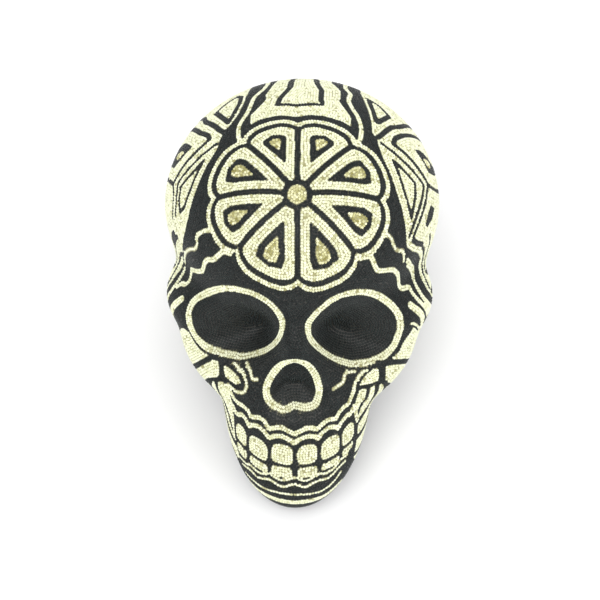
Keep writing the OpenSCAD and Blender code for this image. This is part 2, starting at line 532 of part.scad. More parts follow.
// A strip of bead rows along a path of directions
module band(path, rows, closed = false, rise = motif_rise) {
    count = len(path);
    half = rows * row_pitch / 2;
    points = [for (i = [0:count - 1])
              let (before = closed ? (i + count - 1) % count : max(i - 1, 0))
              let (after = closed ? (i + 1) % count : min(i + 1, count - 1))
              let (here = place(path[i], 0))
              let (ahead = unit(place(path[after], 0) - place(path[before], 0)))
              let (aside = unit(cross(ahead, here - centre_rest)))
              let (left = toward(here - half * aside), right = toward(here + half * aside))
              each [place(left, -motif_depth), place(right, -motif_depth),
                    place(right, rise), place(left, rise)]];
    spans = [for (i = [0:closed ? count - 1 : count - 2], k = [0:3])
             let (a = 4 * i, b = 4 * ((i + 1) % count), m = (k + 1) % 4)
             each [[a + k, a + m, b + m], [a + k, b + m, b + k]]];
    z = 4 * count - 4;
    ends = closed ? [] : [[3, 2, 1], [3, 1, 0], [z, z + 1, z + 2], [z, z + 2, z + 3]];
    polyhedron(points = points, faces = concat(spans, ends), convexity = 6);
}

// A filled field of beads inside a loop of directions, in rings of facets around a middle
module field(outline, about = undef) {
    middle = is_undef(about) ? unit([for (k = [0:2]) total([for (d = outline) d[k]])]) : about;
    loop = winding(outline, middle) < 0 ? outline : reversed(outline);
    count = len(loop);
    rings = ceil(max([for (d = loop) acos(min(d * middle, 1))]) / field_span);
    size = rings * count;
    sheet = [for (k = [rings:-1:1], d = loop) unit(between(middle, d, k / rings))];
    points = concat([for (d = sheet) place(d, motif_rise)], [for (d = sheet) place(d, -motif_depth)],
                    [place(middle, motif_rise), place(middle, -motif_depth)]);
    peak = 2 * size;
    inner = size - count;
    tops = [for (k = [0:1:rings - 2], i = [0:count - 1])
            let (a = k * count + i, b = k * count + (i + 1) % count)
            each [[a, b + count, b], [a, a + count, b + count]]];
    caps = [for (i = [0:count - 1]) [peak, inner + (i + 1) % count, inner + i]];
    walls = [for (i = [0:count - 1]) let (j = (i + 1) % count)
             each [[i, j, size + j], [i, size + j, size + i]]];
    faces = concat(tops, caps, [for (f = tops) sunk(f, size)],
                   [for (f = caps) [peak + 1, f[2] + size, f[1] + size]], walls);
    polyhedron(points = points, faces = faces, convexity = 6);
}

// Which way round a loop runs: below nought is anticlockwise as seen from outside
function winding(loop, middle) =
    middle * [for (k = [0:2]) total([for (i = [0:len(loop) - 1])
                                     cross(loop[i], loop[(i + 1) % len(loop)])[k]])];

// The same facet on the underside, turned over
function sunk(face, step) = [face[0] + step, face[2] + step, face[1] + step];

// ---- Curves ----

function reversed(list) = [for (i = [len(list) - 1:-1:0]) list[i]];
function polar(r, a) = [r * cos(a), r * sin(a)];
function between(a, b, t) = a * (1 - t) + b * t;

// Points spread along a polyline, so that no leg is long
function fine(list) =
    concat([for (i = [0:len(list) - 2])
            let (legs = ceil(norm(list[i + 1] - list[i]) / longest_leg))
            for (k = [0:legs - 1]) between(list[i], list[i + 1], k / legs)],
           [list[len(list) - 1]]);

// The same around a closed outline
function fine_loop(list) =
    let (around = fine(concat(list, [list[0]])))
    [for (i = [0:len(around) - 2]) around[i]];

// ---- Body ----

module core() {
    color(CAST)
        difference() {
            globe(-bead_layer - wax_layer, coarse_grid);
            translate(centre_rest)
                rotate([-lean, 0, 0])
                    translate([0, centre_at[0] - hollow_at[0], hollow_at[1] - centre_at[1]])
                        scale(hollow_half)
                            sphere(r = 1);
        }
}

module wax_coat() {
    color(AMBER)
        difference() {
            globe(-bead_layer, coarse_grid);
            globe(-bead_layer - wax_layer, coarse_grid);
        }
}

module black_ground() {
    color(BLACK)
        difference() {
            globe(0, fine_grid);
            globe(-bead_layer, coarse_grid);
        }
}

// ---- Flower ----

// Place in petal n: along it as a share of the spokes, across it from -1 to 1
function sector(n, along, across) =
    flower_at + along * between(spokes[n], spokes[(n + 1) % PETALS], (1 + across) / 2);

// A petal's round end, between two places across it
function rim(n, share, wide) =
    [for (k = [0:rim_steps]) let (w = wide * (2 * k / rim_steps - 1))
     sector(n, share * (1 + (bulges[n] - 1) * (1 - pow(abs(w), LOBE_POWER))), w)];

module petal(number) {
    n = number - 1;
    sides = [for (s = PETAL_SIDES) between(petal_tip, petal_end, s)];
    right = [for (a = sides) sector(n, a, petal_tip / a - 1)];
    left = [for (a = reversed(sides)) sector(n, a, 1 - petal_tip / a)];
    wide = 1 - petal_tip / petal_end;
    end = rim(n, petal_end, wide);
    loop = concat([sector(n, petal_tip, 0)], right, end, left);
    color(CREAM)
        band(on_crown(loop), PETAL_ROWS, true);
}

module inset(number) {
    n = number - 1;
    tip = inset_tips[n];
    end = inset_ends[n];
    shoulders = [for (s = INSET_SHOULDERS) between(tip, end, s)];
    color(GOLD)
        field(on_crown([sector(n, tip, 0),
                        sector(n, shoulders[0], -inset_wide), sector(n, shoulders[1], -inset_wide),
                        sector(n, end, 0),
                        sector(n, shoulders[1], inset_wide), sector(n, shoulders[0], inset_wide)]));
}

module flower_centre() {
    color(GOLD)
        field(on_crown([for (i = [1:centre_stations])
                        flower_at + polar(centre_radius, FULL * i / centre_stations)]));
}

module flower_border() {
    color(CREAM)
        band(on_crown([for (n = [0:PETALS - 1]) let (lobe = rim(n, border_share, 1))
                       for (k = [0:rim_steps - 1]) lobe[k]]),
             BORDER_ROWS, true);
}

// ---- Crown, sides and back ----

module crown_panel() {
    color(CREAM)
        field(on_crown(fine_loop(CROWN_PANEL)));
}

module crown_window() {
    color(BLACK)
        band(on_crown(fine_loop(CROWN_WINDOW)), window_rows, true, motif_rise + line_rise);
}

module crown_wave(at) {
    color(CREAM)
        band(on_crown(fine(mirrored(CROWN_WAVES[at], SIDES[at]))), wave_rows);
}

module side_field(at) {
    color(CREAM) {
        field(on_crown(fine_loop(mirrored(concat(SIDE_FRONTS[at], SIDE_REAR), SIDES[at]))),
              crown_dir([SIDES[at] * SIDE_MIDDLE[0], SIDE_MIDDLE[1]]));
        band(on_crown(fine(mirrored(concat(TRIM_FRONTS[at], SIDE_TRIM), SIDES[at]))), trim_rows);
    }
}

module side_lines(at) {
    color(BLACK) {
        for (line = SIDE_LINES[at])
            band(on_crown(fine(mirrored(line[1], SIDES[at]))), line[0],
                 rise = motif_rise + line_rise);
        band(on_crown(fine_loop(mirrored(SIDE_BARS[at], SIDES[at]))), window_rows, true,
             motif_rise + line_rise);
        for (i = [0:len(SIDE_NESTED) - 1])
            band(on_crown(fine(mirrored(concat(NESTED_FRONTS[at][i], SIDE_NESTED[i]), SIDES[at]))),
                 nested_rows, rise = motif_rise + line_rise);
    }
}

module medallion() {
    color(CREAM)
        for (r = medallion_rings)
            band([for (i = [1:ring_stations]) back_dir(polar(r, FULL * i / ring_stations))],
                 medallion_rows, true);
}

// ---- Face ----

// Each line of a list of rows and paths on the face, mirrored for the left side
module face_lines(list, at, rise = motif_rise) {
    for (line = list)
        band(on_face(fine(mirrored(line[1], SIDES[at]))), line[0], rise = rise);
}

module temple(at) {
    color(CREAM) {
        face_lines(TEMPLES[at], at);
        for (path = WAVY_LINES)
            band(on_face(fine(mirrored(path, SIDES[at]))), trim_rows);
    }
}

module brow(at) {
    color(CREAM)
        face_lines(BROWS[at], at);
}

module eye_ring(at) {
    color(CREAM)
        band(on_face(mirrored(EYES[at], SIDES[at])), ring_rows, true);
}

// Upside-down heart: a round top and a notch in the middle of the bottom
module nose_ring() {
    color(CREAM)
        band(on_face(NOSE), ring_rows, true);
}

module cheek(at) {
    color(CREAM) {
        for (loop = CHEEK_FIELDS[at])
            field(on_face(mirrored(loop, SIDES[at])));
        face_lines(CHEEK_CURLS[at], at);
    }
}

module gum_lines() {
    color(CREAM)
        for (path = GUMS)
            band(on_face(path), gum_rows);
}

// A tooth's face: a rounded block between left, right, top and bottom
module tooth(box, round) {
    middle = [box[0] + box[1], box[2] + box[3]] / 2;
    half = [box[1] - box[0], box[2] - box[3]] / 2;
    field(on_face([for (i = [1:tooth_stations])
                   let (a = FULL * i / tooth_stations, c = cos(a), s = sin(a))
                   let (power = 2 / (s > 0 ? round[0] : round[1]))
                   middle + [half[0] * sign(c) * pow(abs(c), power),
                             half[1] * sign(s) * pow(abs(s), power)]]));
}

module upper_teeth() {
    color(CREAM)
        for (box = UPPER_TEETH)
            tooth(box, upper_round);
}

module lower_teeth() {
    color(CREAM)
        for (box = LOWER_TEETH)
            tooth(box, lower_round);
}

module chin_bands() {
    color(CREAM) {
        for (path = CHIN_LINES)
            band(on_face(path), chin_rows);
        band(on_face(CHIN_BAND), PETAL_ROWS);
    }
}

module jaw(at) {
    color(CREAM)
        field(on_face(fine_loop(mirrored(JAW_FIELDS[at], SIDES[at]))));
}

module jaw_lines(at) {
    color(BLACK)
        face_lines(JAW_LINES[at], at, motif_rise + line_rise);
}

// ---- Nodes ----

core();
wax_coat();
black_ground();
petal(1);  // petal_1
petal(2);  // petal_2
petal(3);  // petal_3
petal(4);  // petal_4
petal(5);  // petal_5
petal(6);  // petal_6
petal(7);  // petal_7
petal(8);  // petal_8
inset(1);  // inset_1
inset(2);  // inset_2
inset(3);  // inset_3
inset(4);  // inset_4
inset(5);  // inset_5
inset(6);  // inset_6
inset(7);  // inset_7
inset(8);  // inset_8
flower_centre();
flower_border();
crown_panel();
crown_window();
crown_wave(0);  // crown_wave_left
crown_wave(1);  // crown_wave_right
side_field(0);  // side_left
side_field(1);  // side_right
side_lines(0);  // side_lines_left
side_lines(1);  // side_lines_right
temple(0);  // temple_left
temple(1);  // temple_right
brow(0);  // brow_left
brow(1);  // brow_right
eye_ring(0);  // eye_ring_left
eye_ring(1);  // eye_ring_right
nose_ring();
cheek(0);  // cheek_left
cheek(1);  // cheek_right
gum_lines();
upper_teeth();
lower_teeth();
chin_bands();
jaw(0);  // jaw_left
jaw(1);  // jaw_right
jaw_lines(0);  // jaw_lines_left
jaw_lines(1);  // jaw_lines_right
medallion();
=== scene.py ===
"""Beaded skull: glass seed beads in rows on a wax coat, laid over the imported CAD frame."""
import math

import bpy
import numpy as np
from mathutils import Matrix, Vector
from mathutils.kdtree import KDTree


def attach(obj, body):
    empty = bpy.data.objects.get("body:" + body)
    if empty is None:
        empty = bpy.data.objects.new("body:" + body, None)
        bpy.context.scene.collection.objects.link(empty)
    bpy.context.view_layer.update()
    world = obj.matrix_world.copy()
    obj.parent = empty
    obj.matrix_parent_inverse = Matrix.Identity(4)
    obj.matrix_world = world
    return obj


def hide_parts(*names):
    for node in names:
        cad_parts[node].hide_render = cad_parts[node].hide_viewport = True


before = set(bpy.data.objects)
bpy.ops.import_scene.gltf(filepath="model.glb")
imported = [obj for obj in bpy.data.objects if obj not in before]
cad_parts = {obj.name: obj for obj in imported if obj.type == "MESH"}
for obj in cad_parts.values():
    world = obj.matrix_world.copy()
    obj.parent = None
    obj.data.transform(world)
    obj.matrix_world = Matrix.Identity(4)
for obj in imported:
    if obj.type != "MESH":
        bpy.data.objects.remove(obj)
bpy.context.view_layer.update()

MM = 0.001
TINY = 1e-6
rng = np.random.default_rng(17)

# ---- Surface of the skull, in millimetres, as the frame has it ----

LEAN = math.radians(28)
CENTRE = np.array([0.0, -11.5, 63.4])
CENTRE_AT = np.array([0.0, 20.0, 0.0])
BLEND = 18
# Each lobe: centre forward and up, half sizes forward, sideways and up, pitch in degrees
LOBES = [
    (-4, 50, 88, 78, 68, 0),
    (24, 50, 66, 62, 60, 0),
    (-34, 12, 57, 57, 48, 0),
    (26, 10, 61, 75, 35, 0),
    (32, -7, 57, 67, 37, -32),
    (46, -32, 51, 37, 50, 0),
    (51, -38, 68, 41, 36, -61),
    (12, -14, 46, 51, 46, 0),
]
# Each hollow or rise: centre, reach, slope in degrees, sharpness, height, on both sides
FEATURES = [
    ((34, 80, 8), (25, 45, 18), -12, 3.0, -7, True),
    ((32, 80, 9), (19, 45, 14), -12, 1.1, -17, True),
    ((0, 92, 8), (10, 40, 14), 0, 1.0, 7, False),
    ((0, 92, -14), (9.5, 40, 13), 0, 1.5, -10, False),
    ((7, 92, -25), (8, 40, 8.5), 0, 1.5, -8, True),
    ((70, 40, 34), (16, 26, 15), 0, 1.0, -4, True),
]


def lobe_exit(d, lobe):
    """Distance from the shaping centre to the far side of one lobe along directions d."""
    cu, cv, forward, wide, tall, pitch = lobe
    c, s = math.cos(math.radians(pitch)), math.sin(math.radians(pitch))
    off = CENTRE_AT - (0, cu, cv)
    fx = off[0] / wide
    fa = (off[1] * c + off[2] * s) / forward
    fb = (off[2] * c - off[1] * s) / tall
    dx = d[..., 0] / wide
    da = (d[..., 1] * c + d[..., 2] * s) / forward
    db = (d[..., 2] * c - d[..., 1] * s) / tall
    aa = dx * dx + da * da + db * db
    ab = fx * dx + fa * da + fb * db
    bb = fx * fx + fa * fa + fb * fb - 1
    return (np.sqrt(ab * ab - aa * bb) - ab) / aa


def reach(d):
    """Distance from the shaping centre to the bead tops along directions d."""
    exits = np.array([lobe_exit(d, lobe) for lobe in LOBES])
    most = exits.max(0)
    r = most * ((exits / most) ** BLEND).sum(0) ** (1 / BLEND)
    p = CENTRE_AT + d * r[..., None]
    out = r.copy()
    for at, size, slope, power, height, both in FEATURES:
        for side in (1, -1) if both else (1,):
            a = math.radians(slope * side)
            q = p - (side * at[0], at[1], at[2])
            u = (q[..., 0] * math.cos(a) + q[..., 2] * math.sin(a)) / size[0]
            w = (q[..., 2] * math.cos(a) - q[..., 0] * math.sin(a)) / size[2]
            k = u * u + (q[..., 1] / size[1]) ** 2 + w * w
            out += height * np.exp(-(k**power))
    return out


def place(d, lift=0.0):
    """Points on the surface in directions d, raised by lift and kept above the base."""
    y = d[..., 2] * math.sin(LEAN) - d[..., 1] * math.cos(LEAN)
    z = d[..., 1] * math.sin(LEAN) + d[..., 2] * math.cos(LEAN)
    floor = (CENTRE[2] + min(lift, 0)) / np.maximum(-z, TINY)
    r = np.where(z < 0, np.minimum(reach(d) + lift, floor), reach(d) + lift)
    return CENTRE + r[..., None] * np.stack([d[..., 0], y, z], -1)


# ---- Charts: directions from degrees sideways and up ----

FLOWER_UP = math.radians(59)
BACK_UP = math.radians(12)
CROWN_AXIS = np.array([0, math.cos(FLOWER_UP), math.sin(FLOWER_UP)])
CROWN_TOP = np.array([0, -math.sin(FLOWER_UP), math.cos(FLOWER_UP)])
BACK_AXIS = np.array([0, -math.cos(BACK_UP), math.sin(BACK_UP)])
BACK_TOP = np.array([0, math.sin(BACK_UP), math.cos(BACK_UP)])


def from_axis(p, axis, up):
    """Directions of points drawn round an axis, at their distance from it in degrees."""
    p = np.asarray(p, float)
    r = np.radians(np.hypot(p[..., 0], p[..., 1]))
    s = np.sin(r) / np.maximum(np.degrees(r), TINY)
    side = np.cross(axis, up)
    return (
        np.cos(r)[..., None] * axis
        + (s * p[..., 0])[..., None] * side
        + (s * p[..., 1])[..., None] * up
    )


def to_axis(d, axis, up):
    """Chart places of directions d round an axis: from_axis backwards."""
    side = np.cross(axis, up)
    x, y, z = d @ side, d @ up, d @ axis
    r = np.degrees(np.arctan2(np.hypot(x, y), z))
    t = np.arctan2(y, x)
    return np.stack([r * np.cos(t), r * np.sin(t)], -1)


def face(p):
    """Face chart, from straight ahead."""
    p = np.radians(np.asarray(p, float))
    across, rise = p[..., 0], p[..., 1]
    return np.stack([np.sin(across) * np.cos(rise), np.cos(across) * np.cos(rise), np.sin(rise)], -1)


def to_face(d):
    """Places of directions d on the face chart."""
    across = np.arctan2(d[..., 0], d[..., 1])
    rise = np.arcsin(np.clip(d[..., 2], -1, 1))
    return np.degrees(np.stack([across, rise], -1))


def crown(p):
    """Crown chart, from the flower's centre."""
    return from_axis(p, CROWN_AXIS, CROWN_TOP)


def back(p):
    """Back chart, from the medallion's centre, drawn as seen from ahead."""
    return from_axis(np.asarray(p, float) * (-1, 1), BACK_AXIS, BACK_TOP)


# ---- Grid of directions on the sphere: six square faces with a small overlap ----

PITCH = 1.5
CELLS = 320
EXTRA = 8


def sphere_grid(cells, extra):
    """Directions of the grid points: faces, then two ways across each."""
    s = (np.arange(-extra, cells + extra) + 0.5) / cells * 2 - 1
    a, b = np.meshgrid(np.tan(s * math.pi / 4), np.tan(s * math.pi / 4), indexing="ij")
    one = np.ones_like(a)
    sides = [(one, a, b), (-one, b, a), (b, one, a), (a, -one, b), (a, b, one), (b, a, -one)]
    d = np.stack([np.stack(q, -1) for q in sides])
    return d / np.linalg.norm(d, axis=-1, keepdims=True)


def tree_of(points):
    """A search tree of a list of points."""
    tree = KDTree(len(points))
    for i, p in enumerate(points):
        tree.insert(p, i)
    tree.balance()
    return tree


def unit(v):
    """Vectors of length one."""
    return v / np.linalg.norm(v, axis=-1, keepdims=True)


DIRS = sphere_grid(CELLS, EXTRA)
SHAPE = DIRS.shape[:3]
POINTS = place(DIRS)
NORMALS = unit(np.cross(np.gradient(POINTS, axis=1), np.gradient(POINTS, axis=2)))
NORMALS *= np.sign(((POINTS - CENTRE) * NORMALS).sum(-1))[..., None]
flat_points = POINTS.reshape(-1, 3)
grid_tree = tree_of(flat_points.tolist())

BLACK, CREAM, GOLD = 0, 1, 2
COLOURS = (BLACK, CREAM, GOLD)
labels = np.zeros(len(flat_points), np.int8)
zones = np.zeros(len(flat_points), np.int16)
NODES = ["black_ground"] + sorted(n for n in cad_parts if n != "black_ground")
CHARTS = {
    face: to_face(DIRS).reshape(-1, 2),
    crown: to_axis(DIRS, CROWN_AXIS, CROWN_TOP).reshape(-1, 2),
    back: to_axis(DIRS, BACK_AXIS, BACK_TOP).reshape(-1, 2) * (-1, 1),
}

# ---- Painting lines and areas on the grid ----

# Step along a path, in degrees
STEP = 0.28


def legs(length):
    """Shares along a leg of that length, one for each step."""
    steps = max(2, int(length / STEP))
    return np.arange(steps)[:, None] / steps


def spline(path, closed=False):
    """A smooth curve through the path's points."""
    p = np.asarray(path, float)
    n = len(p)
    out = []
    for i in range(n if closed else n - 1):
        a = p[(i - 1) % n] if closed or i else p[0]
        b, c = p[i], p[(i + 1) % n]
        e = p[(i + 2) % n] if closed or i + 2 < n else p[n - 1]
        t = legs(np.linalg.norm(c - b))
        bend = 2 * a - 5 * b + 4 * c - e
        twist = 3 * b - a - 3 * c + e
        out.append(0.5 * (2 * b + (c - a) * t + bend * t**2 + twist * t**3))
    if not closed:
        out.append(p[-1:])
    return np.concatenate(out)


def straight(path, closed=False):
    """The path's own straight legs, finely divided."""
    p = np.asarray(path, float)
    if closed:
        p = np.concatenate([p, p[:1]])
    out = [b + (c - b) * legs(np.linalg.norm(c - b)) for b, c in zip(p, p[1:])]
    out.append(p[-1:])
    return np.concatenate(out)


def mark(index, label, node):
    """Gives grid points a colour and the node they belong to."""
    labels[index] = label
    zones[index] = NODES.index(node)


def line(node, label, chart, path, width, closed=False, curve=spline):
    """Paints a strip of that width in millimetres along a path."""
    hit = set()
    for p in place(chart(curve(path, closed))).tolist():
        hit.update(i for _, i, _ in grid_tree.find_range(p, width / 2))
    mark(list(hit), label, node)


def area(node, label, chart, path):
    """Paints the inside of an outline."""
    poly = np.asarray(path, float)
    pts = CHARTS[chart]
    near = np.nonzero(((pts > poly.min(0)) & (pts < poly.max(0))).all(1))[0]
    x, y = pts[near].T
    inside = np.zeros(len(near), bool)
    for (ax, ay), (bx, by) in zip(poly, np.roll(poly, -1, 0)):
        if ay != by:
            inside ^= ((ay > y) != (by > y)) & (x < (bx - ax) * (y - ay) / (by - ay) + ax)
    mark(near[inside], label, node)


def flip(path, side):
    """A path of the right side, put on its own side."""
    return [(side * x, y) for x, y in path]


def circle(at, radius, turns=32):
    angles = [2 * math.pi * k / turns for k in range(turns)]
    return [(at[0] + radius * math.cos(a), at[1] + radius * math.sin(a)) for a in angles]


SIDES = ((-1, "left"), (1, "right"))
# Widths of lines, in millimetres
ONE, TWO, THREE = 1.2 * PITCH, 2.05 * PITCH, 3 * PITCH
THIN, TIDY = 1.65 * PITCH, 1.6 * PITCH
WAVE, HIGH_BROW, GUM = 1.8 * PITCH, 1.7 * PITCH, 1.9 * PITCH
EYE_RING, NOSE_RING = 2.85 * PITCH, 2.9 * PITCH
EYE_GROUND = 3 * PITCH + 2.6

# ---- Flower ----

FLOWER_AT = (0.0, 0.6)
CENTRE_RADIUS = 2.75
CENTRE_GROUND = 4.3
# Ends of the eight spokes, anticlockwise from the right one, from the flower's centre
SPOKES = [(24.5, 4), (14.6, 18), (-0.6, 21.6), (-14.9, 17.8), (-24.5, 3.4), (-18.6, -13),
          (0.9, -23.3), (19.2, -13.4)]
PETALS = len(SPOKES)
# How far the edge bulges past the chord between two spokes
BULGES = [1.215, 1.17, 1.17, 1.215, 1.245, 1.28, 1.28, 1.245]
LOBE_POWER = 2.6
RIM_STEPS = 8
# Size of the petals, their black edge and the border line, as shares of the chord
PETAL_SHARE, EDGE_SHARE, BORDER_SHARE = 0.948, 0.98, 1.06
BORDER_BULGE = 0.97
# Inner and outer end of the hollow in each petal, as shares of the chord
HOLLOWS = [(0.4, 1.05), (0.46, 0.99), (0.46, 0.99), (0.4, 1.05), (0.44, 1.07), (0.39, 1.08),
           (0.39, 1.08), (0.44, 1.07)]
# Place of the shoulders, setback of the brim from the end, and half widths of the two
HOLLOW = {"shoulder": 0.87, "setback": 0.06, "wide": 0.5, "brim": 0.44}
# How far an inset's ends lie inside its hollow's
INSET_START, INSET_END = 0.22, 0.07
INSET = {"shoulder": 0.85, "setback": 0.03, "wide": 0.26, "brim": 0.22}


def sector(n, along, across):
    """A point of petal n: along the petal as a share of the chord, across it from -1 to 1."""
    ends = zip(FLOWER_AT, SPOKES[n], SPOKES[(n + 1) % PETALS])
    return tuple(c + along * ((1 - across) * p + (1 + across) * q) / 2 for c, p, q in ends)


def rim(n, share, bulge_share):
    """Edge of petal n between two spokes, as a round lobe."""
    out = []
    for k in range(RIM_STEPS + 1):
        w = 2 * k / RIM_STEPS - 1
        rise = 1 + (BULGES[n] - 1) * bulge_share * (1 - abs(w) ** LOBE_POWER)
        out.append(sector(n, share * rise, w))
    return out


def leaf(n, start, end, shoulder, setback, wide, brim):
    """Outline inside petal n: pointed at the start, widest at the shoulder, round at the end."""
    near = [(shoulder, -wide), (end - setback, -brim)]
    far = [(end - setback, brim), (shoulder, wide)]
    shape = [(start, 0)] + near + [(end, 0)] + far
    return [sector(n, along, across) for along, across in shape]


def whole_rim(share, bulge_share):
    """Edge of the whole flower, all its lobes in turn."""
    return [p for n in range(PETALS) for p in rim(n, share, bulge_share)[:-1]]


line("flower_border", CREAM, crown, whole_rim(BORDER_SHARE, BORDER_BULGE), TWO, True, straight)
area("black_ground", BLACK, crown, whole_rim(EDGE_SHARE, 1.0))
line("black_ground", BLACK, crown, whole_rim(EDGE_SHARE, 1.0), TWO, True, straight)
for n in range(PETALS):
    area(f"petal_{n + 1}", CREAM, crown, [FLOWER_AT] + rim(n, PETAL_SHARE, 1.0))
for n, (start, end) in enumerate(HOLLOWS):
    line("black_ground", BLACK, crown, [FLOWER_AT, sector(n, EDGE_SHARE, -1)], TWO)
    area("black_ground", BLACK, crown, leaf(n, start, end, **HOLLOW))
for n, (start, end) in enumerate(HOLLOWS):
    area(f"inset_{n + 1}", GOLD, crown, leaf(n, start + INSET_START, end - INSET_END, **INSET))
area("black_ground", BLACK, crown, circle(FLOWER_AT, CENTRE_GROUND))
area("flower_centre", GOLD, crown, circle(FLOWER_AT, CENTRE_RADIUS))

# ---- Crown ----

# Outline of the cream panel above the flower, and the black line inside it
PANEL = [(14.2, 26.1), (12, 27.6), (6, 28.6), (2, 28.3), (-1.2, 27.2), (-6, 28.4), (-12, 27.6),
         (-14.2, 26.1), (-14.5, 31), (-12.2, 34.5), (-10.6, 38), (-10.8, 42), (-9.8, 47),
         (-8.8, 54), (-8.4, 60), (-7, 64.5), (-4, 67.6), (0, 68.6), (4, 67.6), (7, 64.5), (8.4, 60),
         (8.2, 54), (9.6, 50), (11, 46), (10.8, 41), (10.6, 38), (12.2, 34.5), (14, 31)]
WINDOW = [(3.5, 57), (3.7, 51.5), (4.4, 47.5), (5.3, 44), (5.2, 39), (5.6, 34.4), (2, 33.9),
          (-1.6, 33), (-4, 33.8), (-6.9, 34), (-6.4, 38), (-4.8, 42.5), (-3.9, 46), (-4, 51),
          (-3.7, 57), (-2.8, 60.6), (0, 62.2), (2.8, 60.6)]
# Wavy line on either side of the panel
WAVES = {
    1: [(0, 75), (6, 73.6), (10.4, 69.6), (12.4, 64), (12.6, 58), (12.4, 53), (12.8, 49.5),
        (13.9, 46), (13.4, 42), (13.5, 39), (14.7, 35.5), (16.2, 32), (17.1, 28), (17.2, 24),
        (16.6, 20.8)],
    -1: [(0, 75), (6, 73.6), (10.2, 69.6), (11.8, 64), (11.6, 58), (11.4, 53), (11.8, 48.5),
         (13, 45), (14.3, 42), (14.9, 38), (15.4, 34), (16.6, 30.5), (17.7, 27.5), (17.8, 24),
         (17.2, 20.8)],
}
area("crown_panel", CREAM, crown, PANEL)
line("crown_window", BLACK, crown, WINDOW, TWO, True, straight)

# ---- Sides: a cream field with black lines on it ----

# Hidden edge of a side field, from the temple round to the crown
REAR = [(78, -5), (84, 0), (87, 11), (88, 22), (84.5, 35), (76, 47), (66, 57), (54, 65), (42, 70.5),
        (30, 74), (18, 75)]
# Line that follows that edge
TRIM = [(80, -10), (86.4, -5), (91, 6), (92.8, 20), (89.4, 37), (80, 50.4), (69.6, 61), (57, 69.6),
        (44, 75.4), (31, 79), (18, 80), (0, 80.6)]
# Front ends of that line, which run up the temples as a stripe
TRIM_FRONTS = {
    1: [(47, -4.4), (53.4, -2.2), (59.8, 0.8), (62.8, 0.2), (63.8, -3), (65.6, -7), (68.5, -11),
        (74, -12)],
    -1: [(63.6, 0.4), (66, -2.6), (68, -6.4), (72, -9.8)],
}
# Outlines of the side fields
FIELDS = {
    1: [(17.2, 62), (17.4, 50), (18.2, 44), (19.4, 38), (20.4, 32), (20.7, 26.8), (22.3, 26),
        (22.6, 23.5), (24.3, 19.5), (31, 10), (38, 2), (41, -1.5), (42.7, -2.2), (47.6, -0.7),
        (56.2, 4.9), (62.5, 8.2), (68.1, 5.7), (70.2, 0.8), (72.4, -4)] + REAR,
    -1: [(16.8, 62), (17, 50), (17.2, 42), (18.4, 34), (20.6, 29.5), (22.3, 28), (23.8, 24.5),
         (24.5, 21), (33, 11), (39, 4.5), (43, 2), (48, 1.2), (54, 2), (60, 4.6), (65.5, 3.6),
         (69.6, 1.4), (73, -3)] + REAR,
}
# Lines nested inside the hidden edge
NESTED = [[(81, 5), (82.8, 13), (83, 22), (79.8, 33), (72, 44), (62.5, 53.5), (51.5, 61),
           (40.5, 66), (29.5, 69), (17.5, 70)],
          [(77.6, 14), (78.4, 22), (75, 31.5), (68, 41), (59, 50), (49, 57), (39, 61.5), (29, 64),
           (17.5, 65)]]
# Their front ends on the temples
NESTED_FRONTS = {
    1: [[(56.5, 8), (62, 11.4), (67, 11.6), (71.4, 8.6), (73.6, 3.2), (75.6, -0.4), (78.4, -0.6)],
        [(57.5, 14.6), (62, 16.6), (67, 17), (72, 14.6), (75.4, 11)]],
    -1: [[(57.6, 3.4), (62, 6.8), (66, 8.2), (70, 8.2), (73.4, 5), (75.4, 0.6), (78.2, -0.6)],
         [(52, 6.2), (57, 9.4), (62, 12.6), (67, 14.6), (72, 13.4), (75.4, 11)]],
}
